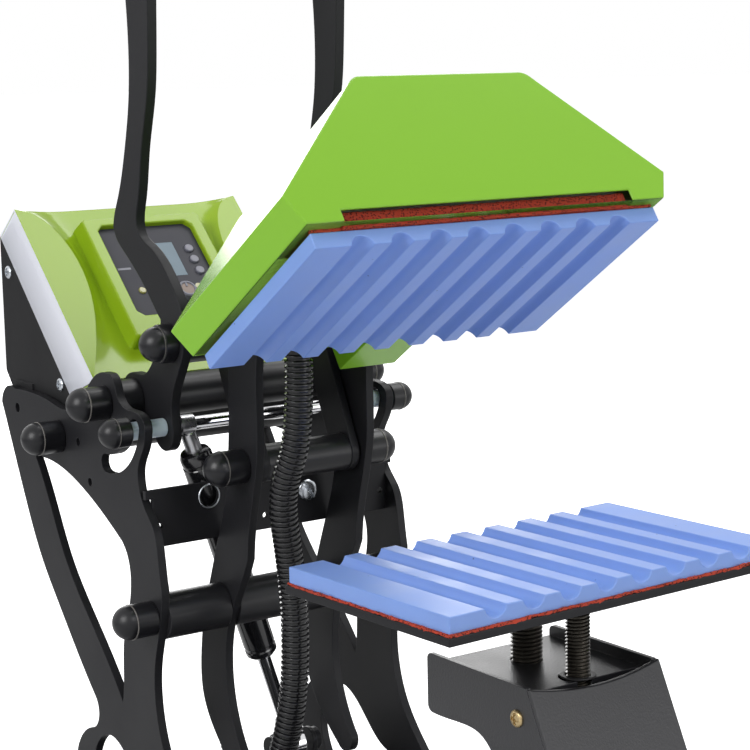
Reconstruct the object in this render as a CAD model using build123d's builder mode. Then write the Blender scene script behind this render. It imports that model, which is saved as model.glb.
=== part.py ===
from build123d import *
import os
from math import cos, sin, tan, radians, hypot, atan2, degrees, pi

# A lever heat press with two grooved rubber pads. Millimetres. +Z is up, +X is
# the right side of someone standing behind the control box, and the operator's
# side, where the lower pad stands, is -Y. The origin is on the table, below the
# middle of the press.

os.makedirs("parts", exist_ok=True)

# ---- Pivots, each as (y, z) in the side view --------------------------------
handle_pivot = (113.0, 298.0)
link_pivot = (68.8, 334.8)
lever_pin = (38.7, 266.5)
lever_pivot = (66.8, 181.4)
rear_tie = (175.2, 269.9)
guide_radius = 35.4
guide_rest_angle = 199.8
handle_travel = 71.8
slot_overrun = 2.5

# ---- Plates, by their inner face's distance from the middle ------------------
plate_x = 79.0
plate_t = 5.0
arm_x = 59.0
arm_t = 6.0
lever_x = 34.0
lever_t = 5.0
link_x = 27.5
link_t = 5.0
side_gap = 0.3
plate_holes = ((150.3, 269.8), (136.9, 248.0))
plate_hole_r = 2.5

# ---- Shafts, tubes and caps --------------------------------------------------
shaft_r = 6.0
running_gap = 0.05
tube_r = 12.0
lever_tube_r = 13.0
cap_r = 10.0
cap_ring = 14.0
guide_rod_r = 4.0
guide_sleeve_r = 5.2
guide_cap_r = 8.6
guide_cap_ring = 8.5
guide_cap_gap = 4.2
link_tube_r = 10.5
link_w = 22.0
link_cap_ring = 8.5
collar_r = 10.9
collar_t = 8.0

# ---- Cross plate, handle bar and grip ----------------------------------------
cross_y = 70.2
cross_t = 2.8
cross_low = 220.2
cross_high = 253.0
cross_tab_low = 248.0
cross_tab_x = 83.5
cross_screw_at = (23.2, 239.4)
cross_screw_r = 4.0
cross_screw_head_r = 6.3
cross_screw_head_h = 3.0
cross_hole_at = (-42.7, 244.9)
cross_hole_r = 6.3
cross_small_holes = ((75.0, 232.0), (5.7, 228.4))
cross_small_r = 1.8
handle_bar_at = (93.5, 552.0)
handle_bar_bolt_r = 5.0
handle_bar_r = 11.0
handle_bar_cap_ring = 4.0
grip_r = 16.0
grip_half = 50.0

# ---- Base --------------------------------------------------------------------
base_front = -260.0
base_back = 190.0
base_top = 20.0
base_t = 4.0
base_low = 6.0
base_corner_r = 8.0
foot_r = 15.0
foot_inset = 24.0
foot_taper = 4.0
rail_top = 26.0
rail_front = -96.0
rail_middle = 16.0
rail_bolts = (-70.0, 20.0, 160.0)
bolt_r = 3.0
bolt_head_r = 5.5
bolt_head_h = 3.0

# ---- Lower pad's pedestal ----------------------------------------------------
pedestal_half = 40.0
cheek_t = 2.5
cheek_top = 200.0
cheek_back = -133.6
cheek_front = -210.4
shelf_top = 194.5
shelf_t = 5.0
shelf_front = -203.0
pedestal_foot_mid = -188.0
pedestal_foot_l = 110.0
pedestal_foot_t = 3.0
cover_dip = 4.5
side_screw_r = 3.8
side_screw_h = 1.8
cover_screw = (-203.8, 184.3)
foot_screw = (-246.0, 60.0)

# ---- Pads and their plates -----------------------------------------------------
pad_w = 210.0
pad_d = 120.0
pad_h = 8.2
groove_pitch = 22.4
groove_count = 8
groove_r = 6.6
groove_depth = 5.0
sponge_t = 0.8
platen_over = 1.4
platen_t = 4.2
platen_top = 249.4
platen_x = 2.1
platen_y = -168.1
platen_turn = 2.71
screw_back = 8.6
guide_front = 28.0
guide_screw_reach = 26.0
screw_r = 8.0
guide_screw_r = 6.0
platen_collar_r = 14.5
platen_collar_t = 6.5
screw_end_z = 120.0
knob_r = 24.0
knob_h = 16.0
knob_scoops = 8
knob_scoop_r = 6.0

# ---- Head, in its own directions: u to the right, v forward, n upward -----------
head_tilt = 33.64
head_y = -43.0
head_z = 336.5
head_sponge_t = 5.0
block_h = 14.0
board_h = 6.0
cover_wall = 1.5
cover_back = -4.5
cover_front = pad_d + 6.0
cover_low = 10.0
cover_low_half = pad_w / 2 + 4.0
shoulder_n = 25.0
shoulder_half = pad_w / 2 + 11.5
roof_n = 88.3
roof_half = 52.5
skirt_half = pad_w / 2 - 17.0
skirt_n = 16.0
hood_half = 41.0
hood_back = -48.0
hood_low = 26.0
hood_top = 85.0
hood_drop_left = 4.0
hood_drop_low = 12.0
neck_v = 66.0
neck_n = 50.0
neck_w = 26.0
neck_bolts = (24.0, 64.0)
bracket_t = 3.0
bracket_back = 8.0
bracket_front = 80.0
bracket_over = 10.0
roof_corner_r = 9.0
roof_slope = 0.42
gland_u = -27.5
gland_v = -28.5
gland_drop = 9.0
gland_lip = 2.2
gland_play = 1.3
conduit_r = 7.9

# ---- Control box, its front slope measured up from the lower front edge ----------
box_half = 78.0
box_foot = (138.0, 307.0)
box_head = (236.0, 402.0)
band_foot = (170.4, 294.6)
band_head = (258.9, 384.3)
box_wall = 2.0
box_bolt = (232.0, 280.0)
box_ear_lap = 1.6
box_ear_t = plate_x - box_half + box_ear_lap
box_ear_w = 24.0
box_ear_l = 27.0
box_ear_up = 2.0
box_tail = ((258.9, 300.0), (245.0, 284.0), (172.0, 284.0))
box_screws = ((248.0, 362.5), (182.0, 299.5))
box_screw_r = 4.0
box_screw_h = 1.6
back_end_y = 260.0
back_low_z = 284.0
back_wall = 1.5
bezel_half = 41.0
bezel_low = 25.0
bezel_high = 119.5
bezel_h = 5.5
bezel_chamfer = 1.5
panel_half = 33.0
panel_low = 40.5
panel_high = 113.5
panel_lip = 3.0
panel_chamfer = 4.0
lcd_left = -10.0
lcd_right = 15.0
lcd_low = 71.5
lcd_high = 99.0
button_u = 24.5
button_r = 3.0
button_gap = 0.2
button_places = {"up_button": 92.4, "down_button": 83.3, "mode_button": 74.0}
button_rise = 1.4
switch_gap = 0.15
knob_place = (7.0, 57.0)
set_knob_r = 6.2
set_knob_h = 5.0
set_spindle_r = 3.0
set_mark = (1.4, 4.5, 0.8)
board_top = -8.4
board_thick = 1.6
inlet_x = -40.0
inlet_z = 330.0
inlet_half_w = 14.0
inlet_half_h = 10.5
inlet_rim = (8.0, 6.0)
inlet_depth = 16.0
inlet_well = (22.0, 15.0, 13.0)
blade_places = ((0, -1.5), (-7, 1.5), (7, 1.5))
blade_size = (2.0, 5.0)
rocker_x = 24.0
rocker_half_w = 11.0
rocker_half_h = 8.0
rocker_rim = 6.0
rocker_depth = 15.0
rocker_wall = 2.0
rocker_gap = 0.3
panel_rise = 2.0
lamp_places = ((18.0, 61.0), (-21.0, 62.0))
lamp_r = 2.5
board_w = 72.0
board_l = 72.0
board_post_r = 2.5
board_posts = (67.0, 66.0)
board_part_places = ((-12, 60), (14, 88))
board_part_w = 16.0
board_part_h = 6.0
module_at = (-12.0, 214.0)
module_low = (48.0, 30.0, 24.0)
module_cross = (28.0, 44.0, 18.0)
button_stroke = 0.8
rocker_r = 5.2

# ---- Gas spring ------------------------------------------------------------------
spring_top_x = -51.2
spring_foot = (30.2, 105.1, 74.0)
spring_r = 9.5
spring_rod_r = 4.0
spring_stem_r = 4.6
spring_hook_r = 5.7
spring_hook_w = 9.0
spring_eye_r = 10.0
spring_body_start = 17.0
spring_body_end = 160.0
spring_rod_top = 112.0
spring_bore_top = 84.0
eye_gap = 0.3
foot_eye_half = 4.5
ear_r = 8.0
ear_gap = 5.6
ear_t = 3.0
anchor_cap_r = 7.0
anchor_cap_h = 4.0


def on_circle(centre, radius, angle):
    """The (y, z) at an angle in degrees round a centre, from +Y towards +Z."""
    return centre[0] + radius * cos(radians(angle)), centre[1] + radius * sin(radians(angle))


guide_rod_at = on_circle(handle_pivot, guide_radius, guide_rest_angle)
plate_out = plate_x + plate_t
arm_out = arm_x + arm_t
lever_out = lever_x + lever_t
tilt = radians(head_tilt)


def head_point(v, n):
    """The (y, z) of a place in the head, v forward of its rear edge and n up."""
    return head_y - v * cos(tilt) + n * sin(tilt), head_z + v * sin(tilt) + n * cos(tilt)


def head_plane(n):
    """A plane across the head at a height n; its own y runs backward."""
    return Plane(origin=(0, *head_point(0, n)), x_dir=(1, 0, 0), z_dir=(0, sin(tilt), cos(tilt)))


def head_section(v):
    """A plane across the head at a distance v; its own y runs up, and it faces forward."""
    return Plane(origin=(0, *head_point(v, 0)), x_dir=(1, 0, 0), z_dir=(0, -cos(tilt), sin(tilt)))


def rod(pivot, radius, start, end, mode=Mode.ADD):
    """A round bar along X between two distances, added to the open part or cut from it."""
    with BuildSketch(Plane.YZ.offset(start)) as section:
        with Locations(pivot):
            Circle(radius)
    extrude(section.sketch, amount=end - start, mode=mode)


def tube(pivot, radius, bore, start, end):
    """A round tube along X between two distances."""
    with BuildSketch(Plane.YZ.offset(start)) as section:
        with Locations(pivot):
            Circle(radius)
            Circle(bore, mode=Mode.SUBTRACT)
    extrude(section.sketch, amount=end - start)


def dome_cap(pivot, radius, start, ring):
    """A domed nut on an X shaft: a ring from start, then a half ball. ring is signed."""
    side = 1 if ring > 0 else -1
    rim = start + ring
    tip = rim + side * radius
    mid = (rim + side * radius * cos(radians(45)), radius * sin(radians(45)))
    view = Plane(origin=(0, *pivot), x_dir=(1, 0, 0), z_dir=(0, -1, 0))
    with BuildSketch(view) as half:
        with BuildLine():
            Polyline((tip, 0), (start, 0), (start, radius), (rim, radius))
            ThreePointArc((rim, radius), mid, (tip, 0))
        make_face()
    revolve(half.sketch, axis=Axis((0, *pivot), (1, 0, 0)))


# =============================== FRAME ==========================================
slot_half = guide_sleeve_r + side_gap
slot_start = guide_rest_angle - slot_overrun
slot_sweep = handle_travel + 2 * slot_overrun


def side_plate_outline():
    """The profile of a side plate in the side view: column, horn, two legs and foot rail."""
    with BuildSketch(Plane.YZ) as outline:
        with BuildLine():
            Spline((110.7, 315.2), (125, 312), (141, 299), (164.4, 287), (186.9, 289.6), (210.2, 291.7),
                   (234.5, 291.2))
            ThreePointArc((234.5, 291.2), (250.5, 289), (254.8, 281.2))
            Spline((254.8, 281.2), (240.4, 252), (223.9, 218.4), (205.8, 188.1), (184.8, 163.4),
                   (162.9, 138.9), (141.3, 116.9))
            ThreePointArc((141.3, 116.9), (138.2, 106.5), (146, 97))
            Spline((146, 97), (160, 90), (169.5, 76), (170, 56.6), (162.3, 43), (148, rail_top))
            Polyline((148, rail_top), (base_back - 6, rail_top), (base_back, rail_top - 6),
                     (base_back, base_low), (rail_front, base_low), (rail_front, rail_top - 8),
                     (rail_front + 8, rail_top), (-60, rail_top))
            Spline((-60, rail_top), (-25, 32), (12, 54), (37.1, 77.3), (58, 103.2), (66.2, 128),
                   (65.8, 153.9), (58.5, 177), (54.7, 199.4))
            Spline((54.7, 199.4), (57.8, 218.7), (62.4, 233.8), (70.9, 243.1), (76.9, 255.2),
                   (76.6, 266.1), (70.6, 276), (67.5, 284.9))
            Spline((67.5, 284.9), (68.6, 293), (76.4, 296.6), (90.5, 297.6), (97.9, 302.4),
                   (101.5, 310.5), (110.7, 315.2))
        make_face()
        with BuildLine():
            Spline((106.5, 122.1), (104.6, 132.7), (102.2, 160.1), (92.8, 185.8), (92.1, 208.7),
                   (99.6, 219.6))
            Spline((99.6, 219.6), (119.5, 230.7), (145.1, 242.5), (171.9, 251), (198.9, 253.7))
            ThreePointArc((198.9, 253.7), (205, 254.6), (208.8, 252.2))
            Spline((208.8, 252.2), (193.3, 227.9), (173.5, 194.3), (144.8, 163.3), (106.5, 122.1))
        make_face(mode=Mode.SUBTRACT)
        with BuildLine():
            Line((0, rail_top), (122, rail_top))
            Spline((122, rail_top), (134, 37), (145.5, 54), (147.8, 74), (138, 92), (122, 98), (106, 91),
                   (92.3, 78.4), (74, 67.2))
            Spline((74, 67.2), (45, 51), (18, 33), (0, rail_top))
        make_face(mode=Mode.SUBTRACT)
        for pivot in (handle_pivot, lever_pivot, rear_tie):
            with Locations(pivot):
                Circle(shaft_r, mode=Mode.SUBTRACT)
        with BuildLine():
            outer = CenterArc(handle_pivot, guide_radius + slot_half, slot_start, slot_sweep)
            inner = CenterArc(handle_pivot, guide_radius - slot_half, slot_start, slot_sweep)
            for at_end, angle, turn in ((0, slot_start, -90), (1, slot_start + slot_sweep, 90)):
                end_centre = on_circle(handle_pivot, guide_radius, angle)
                ThreePointArc(outer @ at_end, on_circle(end_centre, slot_half, angle + turn), inner @ at_end)
        make_face(mode=Mode.SUBTRACT)
        with Locations(*plate_holes):
            Circle(plate_hole_r, mode=Mode.SUBTRACT)
        for y in rail_bolts:
            with Locations((y, rail_middle)):
                Circle(bolt_r, mode=Mode.SUBTRACT)
        with Locations(box_bolt):
            Circle(bolt_r, mode=Mode.SUBTRACT)
    return outline.sketch_local


plate_profile = side_plate_outline()

for side, name in ((-1, "left_side_plate"), (1, "right_side_plate")):
    with BuildPart() as side_plate:
        with BuildSketch(Plane.YZ.offset(plate_x if side > 0 else -plate_out)):
            add(plate_profile)
        extrude(amount=plate_t)
    side_plate.part.label = name
    export_step(side_plate.part, f"parts/{name}.step")

# The cross plate stands upright behind the levers and joins the side plates. Its upper
# corners reach out in front of their edges.
with BuildPart() as cross_plate:
    with BuildSketch(Plane.XZ.offset(-cross_y - cross_t)):
        with Locations((0, (cross_low + cross_high) / 2)):
            Rectangle(2 * plate_x, cross_high - cross_low)
        with Locations((0, (cross_tab_low + cross_high) / 2)):
            Rectangle(2 * cross_tab_x, cross_high - cross_tab_low)
        with Locations(cross_hole_at):
            Circle(cross_hole_r, mode=Mode.SUBTRACT)
        with Locations(cross_screw_at):
            Circle(cross_screw_r, mode=Mode.SUBTRACT)
        with Locations(*[(end * u, z) for u, z in cross_small_holes for end in (-1, 1)]):
            Circle(cross_small_r, mode=Mode.SUBTRACT)
    extrude(amount=cross_t)
cross_plate.part.label = "cross_plate"
export_step(cross_plate.part, "parts/cross_plate.step")

# Fixed shafts: the lever pivot, the handle pivot and the rear tie.
with BuildPart() as pivot_shafts:
    rod(lever_pivot, shaft_r, -plate_out, plate_out)
    rod(handle_pivot, shaft_r, -plate_out, plate_out)
pivot_shafts.part.label = "pivot_shafts"
export_step(pivot_shafts.part, "parts/pivot_shafts.step")

with BuildPart() as rear_tie_tube:
    rod(rear_tie, shaft_r, -plate_out, plate_out)
    rod(rear_tie, tube_r, -plate_x, plate_x)
rear_tie_tube.part.label = "rear_tie_tube"
export_step(rear_tie_tube.part, "parts/rear_tie_tube.step")

# Spacer tubes keep the levers and the handle arms apart from the side plates.
with BuildPart() as spacer_tubes:
    tube(lever_pivot, lever_tube_r, shaft_r, -lever_x + side_gap, lever_x - side_gap)
    tube(lever_pivot, lever_tube_r, shaft_r, lever_out + side_gap, plate_x)
    tube(lever_pivot, lever_tube_r, shaft_r, -plate_x, -lever_out - side_gap)
    tube(handle_pivot, tube_r, shaft_r, arm_out + side_gap, plate_x)
    tube(handle_pivot, tube_r, shaft_r, -plate_x, -arm_out - side_gap)
spacer_tubes.part.label = "spacer_tubes"
export_step(spacer_tubes.part, "parts/spacer_tubes.step")

with BuildPart() as frame_dome_caps:
    for pivot in (lever_pivot, handle_pivot, rear_tie):
        dome_cap(pivot, cap_r, plate_out, cap_ring)
        dome_cap(pivot, cap_r, -plate_out, -cap_ring)
frame_dome_caps.part.label = "frame_dome_caps"
export_step(frame_dome_caps.part, "parts/frame_dome_caps.step")

# ---- Base tray, feet and the bolts that hold the side plates to it ---------------
tray_length = base_back - base_front
tray_mid = (base_back + base_front) / 2
with BuildPart() as base_tray:
    with BuildSketch(Plane.XY.offset(base_top - base_t)):
        with Locations((0, tray_mid)):
            Rectangle(2 * plate_x, tray_length)
    extrude(amount=base_t)
    with BuildSketch(Plane.XY.offset(base_low)):
        with Locations((0, tray_mid)):
            Rectangle(2 * plate_x, tray_length)
            Rectangle(2 * (plate_x - base_t), tray_length - 2 * base_t, mode=Mode.SUBTRACT)
    extrude(amount=base_top - base_t - base_low)
    for y in rail_bolts:
        rod((y, rail_middle), bolt_r, -plate_x, plate_x, Mode.SUBTRACT)
    front_corners = base_tray.edges().filter_by(Axis.Z).group_by(Axis.Y)[0]
    fillet(front_corners, base_corner_r)
base_tray.part.label = "base_tray"
export_step(base_tray.part, "parts/base_tray.step")

foot_x = plate_x - foot_inset
with BuildPart() as rubber_feet:
    with BuildSketch():
        with Locations((0, tray_mid)):
            with GridLocations(2 * foot_x, tray_length - 2 * foot_inset, 2, 2):
                Circle(foot_r)
    extrude(amount=base_top - base_t, taper=foot_taper)
rubber_feet.part.label = "rubber_feet"
export_step(rubber_feet.part, "parts/rubber_feet.step")

# Bolts through the side plates hold the base tray's flanges and the control box's ears.
plate_bolts = [((y, rail_middle), base_t, bolt_head_h) for y in rail_bolts] + [(box_bolt, box_ear_t, 0)]
with BuildPart() as plate_screws:
    for at, grip_t, head_h in plate_bolts:
        for end in (-1, 1):
            rod(at, bolt_r, end * (plate_x - grip_t), end * plate_out)
            if head_h:
                rod(at, bolt_head_r, end * plate_out, end * (plate_out + head_h))
plate_screws.part.label = "plate_screws"
export_step(plate_screws.part, "parts/plate_screws.step")

# =============================== PEDESTAL ========================================
# Two cheeks joined by a shelf and a foot plate carry the lower pad from the front.
cheek_x = pedestal_half - cheek_t
screw_x = platen_x - screw_back * sin(radians(platen_turn))
screw_y = platen_y + screw_back * cos(radians(platen_turn))
guide_x = platen_x + guide_front * sin(radians(platen_turn))
guide_y = platen_y - guide_front * cos(radians(platen_turn))
guide_hole_r = guide_screw_r + 2.2
bush_r = guide_hole_r + 0.7
bush_h = 0.9
cover_edge = ((cheek_front, cheek_top), (-235.0, 150.0), (-253.1, 72.1), (-253.1, base_top))
cover_lean = (-0.441, -0.897)


def cheek_outline():
    """A cheek in the side view: a C that reaches back under the pad, open behind."""
    with BuildSketch(Plane.YZ) as outline:
        with BuildLine():
            Line(cover_edge[0], cover_edge[1])
            TangentArc(cover_edge[1], cover_edge[2], tangent=cover_lean)
            Polyline(cover_edge[2], cover_edge[3], (-120, base_top))
            Spline((-120, base_top), (-124, 38), (-150, 47), (-190, 62), (-208, 90), (-205, 125),
                   (-190, 155), (-176.5, 168.6), (-160, 170.7), (-137.4, 170.2))
            ThreePointArc((-137.4, 170.2), (-134.6, 171.4), (cheek_back, 174))
            Line((cheek_back, 174), (cheek_back, cheek_top - 3))
            ThreePointArc((cheek_back, cheek_top - 3), (-134.5, cheek_top - 0.9), (-136.6, cheek_top))
            Line((-136.6, cheek_top), cover_edge[0])
        make_face()
        with Locations(cover_screw, foot_screw):
            Circle(bolt_r, mode=Mode.SUBTRACT)
    return outline.sketch_local


cheek_profile = cheek_outline()
with BuildPart() as press_pedestal:
    with BuildSketch(Plane.YZ.offset(cheek_x)):
        add(cheek_profile)
    extrude(amount=cheek_t)
    with BuildSketch(Plane.YZ.offset(-pedestal_half)):
        add(cheek_profile)
    extrude(amount=cheek_t)
    with BuildSketch(Plane.XY.offset(shelf_top - shelf_t)):
        with Locations((0, (cheek_back + shelf_front) / 2)):
            Rectangle(2 * cheek_x, cheek_back - shelf_front)
        with Locations((screw_x, screw_y)):
            Circle(screw_r + running_gap, mode=Mode.SUBTRACT)
        with Locations((screw_x, guide_y)):
            Circle(guide_hole_r, mode=Mode.SUBTRACT)
    extrude(amount=shelf_t)
    with BuildSketch(Plane.XY.offset(base_top)):
        with Locations((0, pedestal_foot_mid)):
            Rectangle(2 * cheek_x, pedestal_foot_l)
    extrude(amount=pedestal_foot_t)
press_pedestal.part.label = "press_pedestal"
export_step(press_pedestal.part, "parts/press_pedestal.step")

# The pedestal's front cover is a bent sheet whose top edge dips in the middle.
cover_skin = (-cheek_t * 0.897, cheek_t * 0.441)
skin_top = (cover_edge[0][0] - cheek_t / 0.897, cheek_top)
skin_bend = (cover_edge[1][0] + cover_skin[0], cover_edge[1][1] + cover_skin[1])
with BuildPart() as pedestal_cover:
    with BuildSketch(Plane.YZ.offset(-pedestal_half)):
        with BuildLine():
            Line(cover_edge[0], cover_edge[1])
            TangentArc(cover_edge[1], cover_edge[2], tangent=cover_lean)
            Polyline(cover_edge[2], cover_edge[3], (cover_edge[3][0] - cheek_t, cover_edge[3][1]),
                     (cover_edge[2][0] - cheek_t, cover_edge[2][1]))
            TangentArc(skin_bend, (cover_edge[2][0] - cheek_t, cover_edge[2][1]), tangent=cover_lean)
            Polyline(skin_bend, skin_top, cover_edge[0])
        make_face()
    extrude(amount=2 * pedestal_half)
    with BuildSketch(Plane.XZ.offset(-cheek_front)):
        with BuildLine():
            ThreePointArc((-pedestal_half, cheek_top), (0, cheek_top - cover_dip), (pedestal_half, cheek_top))
            Line((pedestal_half, cheek_top), (-pedestal_half, cheek_top))
        make_face()
    extrude(amount=5 * cheek_t, both=True, mode=Mode.SUBTRACT)
pedestal_cover.part.label = "pedestal_cover"
export_step(pedestal_cover.part, "parts/pedestal_cover.step")

with BuildPart() as guide_bush:
    with BuildSketch(Plane.XY.offset(shelf_top)):
        with Locations((guide_x, guide_y)):
            Circle(bush_r)
            Circle(guide_screw_r + 0.3, mode=Mode.SUBTRACT)
    extrude(amount=bush_h)
guide_bush.part.label = "guide_bush"
export_step(guide_bush.part, "parts/guide_bush.step")

# =============================== LOWER PAD =======================================
platen_low = platen_top - pad_h - sponge_t - platen_t
platen_plane = Plane(origin=(platen_x, platen_y, 0), x_dir=(cos(radians(platen_turn)),
                     sin(radians(platen_turn)), 0), z_dir=(0, 0, 1))


def pad_grooves(plane, depth_from):
    """Grooves along the pad, cut down from one height of the given plane."""
    with BuildSketch(plane) as grooves:
        for i in range(groove_count):
            with Locations(((i - (groove_count - 1) / 2) * groove_pitch, depth_from)):
                Circle(groove_r)
    extrude(grooves.sketch, amount=pad_d, both=True, mode=Mode.SUBTRACT)


# The collar under the plate holds the end of the pressure screw, which turns in it.
with BuildPart() as lower_plate:
    with BuildSketch(platen_plane.offset(platen_low)):
        Rectangle(pad_w + 2 * platen_over, pad_d + 2 * platen_over)
    extrude(amount=platen_t)
    with BuildSketch(Plane.XY.offset(platen_low - platen_collar_t)):
        with Locations((screw_x, screw_y)):
            Circle(platen_collar_r)
            Circle(screw_r + running_gap, mode=Mode.SUBTRACT)
    extrude(amount=platen_collar_t)
lower_plate.part.label = "lower_plate"
export_step(lower_plate.part, "parts/lower_plate.step")

with BuildPart() as lower_sponge:
    with BuildSketch(platen_plane.offset(platen_low + platen_t)):
        Rectangle(pad_w + 0.4, pad_d + 0.4)
    extrude(amount=sponge_t)
lower_sponge.part.label = "lower_sponge"
export_step(lower_sponge.part, "parts/lower_sponge.step")

groove_centre = pad_h + groove_r - groove_depth
with BuildPart() as lower_pad:
    with BuildSketch(platen_plane.offset(platen_top - pad_h)):
        Rectangle(pad_w, pad_d)
    extrude(amount=pad_h)
    pad_view = Plane(origin=(platen_x, platen_y, platen_top - pad_h), x_dir=platen_plane.x_dir,
                     z_dir=(sin(radians(platen_turn)), -cos(radians(platen_turn)), 0))
    pad_grooves(pad_view, groove_centre)
lower_pad.part.label = "lower_pad"
export_step(lower_pad.part, "parts/lower_pad.step")

# The guide screw is fixed under the plate and slides through the shelf.
with BuildPart() as guide_screw:
    with BuildSketch(Plane.XY.offset(shelf_top - guide_screw_reach)):
        with Locations((guide_x, guide_y)):
            Circle(guide_screw_r)
    extrude(amount=platen_low - shelf_top + guide_screw_reach)
guide_screw.part.label = "guide_screw"
export_step(guide_screw.part, "parts/guide_screw.step")

with BuildPart() as pressure_screw:
    with BuildSketch(Plane.XY.offset(screw_end_z)):
        with Locations((screw_x, screw_y)):
            Circle(screw_r)
    extrude(amount=platen_low - side_gap - screw_end_z)
pressure_screw.part.label = "pressure_screw"
export_step(pressure_screw.part, "parts/pressure_screw.step")

with BuildPart() as pressure_knob:
    with BuildSketch(Plane.XY.offset(screw_end_z)):
        with Locations((screw_x, screw_y)):
            Circle(knob_r)
            with PolarLocations(knob_r + knob_scoop_r / 2, knob_scoops):
                Circle(knob_scoop_r, mode=Mode.SUBTRACT)
        with Locations((screw_x, screw_y)):
            Circle(screw_r, mode=Mode.SUBTRACT)
    extrude(amount=knob_h)
pressure_knob.part.label = "pressure_knob"
export_step(pressure_knob.part, "parts/pressure_knob.step")

# =============================== HANDLE ==========================================

def arm_outline():
    """A handle arm in the side view: upper blade, pivot boss and the lobe of the guide rod."""
    with BuildSketch(Plane.YZ) as outline:
        with BuildLine():
            Spline((80.6, 522), (82.3, 495.4), (85.4, 471), (94.2, 440.7), (100.4, 412.6), (103.4, 402),
                   (102.9, 396.5))
            Spline((102.9, 396.5), (99.5, 391.8), (91.5, 388), (80.2, 381.8), (72.8, 375.6), (66, 368.6),
                   (60.8, 362.2), (56.2, 355.4))
            Spline((56.2, 355.4), (54.2, 347), (54.4, 337), (56.4, 328), (61, 319.6), (65, 313),
                   (68.6, 306.2), (70.8, 298.5))
            Spline((70.8, 298.5), (70.5, 291), (69.7, 284), (70.9, 278.2), (74.4, 274), (79.6, 272.2),
                   (85, 273.4), (89.6, 277))
            Spline((89.6, 277), (94.5, 281.6), (102.5, 284.3), (113, 282.6), (123.4, 286.8), (128.4, 297),
                   (125, 308.4), (114, 313.4), (101.6, 313.6), (91.4, 321), (84.6, 331), (80.4, 340),
                   (79.4, 347))
            Spline((79.4, 347), (86, 353.2), (94.8, 362.4), (101.5, 368.6), (109.5, 375), (120, 382.6),
                   (128, 389.2), (131.4, 396))
            Spline((131.4, 396), (130.2, 401.5), (124.6, 413), (114.3, 440), (107.2, 468), (104.9, 496),
                   (106, 523))
            Line((106, 523), (107, 552))
            ThreePointArc((107, 552), (93.5, 565.5), (80, 552))
            Line((80, 552), (80.6, 522))
        make_face()
        with Locations(link_pivot):
            Circle(shaft_r, mode=Mode.SUBTRACT)
        with Locations(handle_pivot):
            Circle(shaft_r + running_gap, mode=Mode.SUBTRACT)
        with Locations(guide_rod_at):
            Circle(guide_rod_r, mode=Mode.SUBTRACT)
        with Locations(handle_bar_at):
            Circle(handle_bar_bolt_r, mode=Mode.SUBTRACT)
    return outline.sketch_local


arm_profile = arm_outline()
for side, name in ((-1, "left_handle_arm"), (1, "right_handle_arm")):
    with BuildPart() as handle_arm:
        with BuildSketch(Plane.YZ.offset(arm_x if side > 0 else -arm_out)):
            add(arm_profile)
        extrude(amount=arm_t)
    handle_arm.part.label = name
    export_step(handle_arm.part, f"parts/{name}.step")

with BuildPart() as handle_hub:
    tube(handle_pivot, tube_r, shaft_r + running_gap, -arm_x, arm_x)
handle_hub.part.label = "handle_hub"
export_step(handle_hub.part, "parts/handle_hub.step")

with BuildPart() as handle_bar:
    rod(handle_bar_at, handle_bar_bolt_r, -arm_out, arm_out)
    rod(handle_bar_at, handle_bar_r, -arm_x, arm_x)
    dome_cap(handle_bar_at, cap_r, arm_out, handle_bar_cap_ring)
    dome_cap(handle_bar_at, cap_r, -arm_out, -handle_bar_cap_ring)
handle_bar.part.label = "handle_bar"
export_step(handle_bar.part, "parts/handle_bar.step")

with BuildPart() as hand_grip:
    tube(handle_bar_at, grip_r, handle_bar_r, -grip_half, grip_half)
    fillet(hand_grip.edges().filter_by(GeomType.CIRCLE).sort_by(SortBy.RADIUS)[-2:], 4)
hand_grip.part.label = "hand_grip"
export_step(hand_grip.part, "parts/hand_grip.step")

# The guide rod runs through both arms, and its nylon sleeves ride in the side plates' slots.
with BuildPart() as guide_rod:
    rod(guide_rod_at, guide_rod_r, -plate_out - guide_cap_gap, plate_out + guide_cap_gap)
guide_rod.part.label = "guide_rod"
export_step(guide_rod.part, "parts/guide_rod.step")

with BuildPart() as guide_sleeves:
    tube(guide_rod_at, guide_sleeve_r, guide_rod_r, arm_out, plate_out + guide_cap_gap)
    tube(guide_rod_at, guide_sleeve_r, guide_rod_r, -plate_out - guide_cap_gap, -arm_out)
guide_sleeves.part.label = "guide_sleeves"
export_step(guide_sleeves.part, "parts/guide_sleeves.step")

with BuildPart() as link_shaft:
    rod(link_pivot, shaft_r, -arm_out, arm_out)
    for end in (-1, 1):
        rod(link_pivot, tube_r, end * (link_x + link_t + side_gap), end * arm_x)
link_shaft.part.label = "link_shaft"
export_step(link_shaft.part, "parts/link_shaft.step")

with BuildPart() as handle_dome_caps:
    for end in (-1, 1):
        rod(link_pivot, collar_r, end * arm_out, end * (arm_out + collar_t))
        dome_cap(link_pivot, cap_r, end * (arm_out + collar_t), end * (link_cap_ring - collar_t))
        dome_cap(guide_rod_at, guide_cap_r, end * (plate_out + guide_cap_gap), end * guide_cap_ring)
handle_dome_caps.part.label = "handle_dome_caps"
export_step(handle_dome_caps.part, "parts/handle_dome_caps.step")

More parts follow.
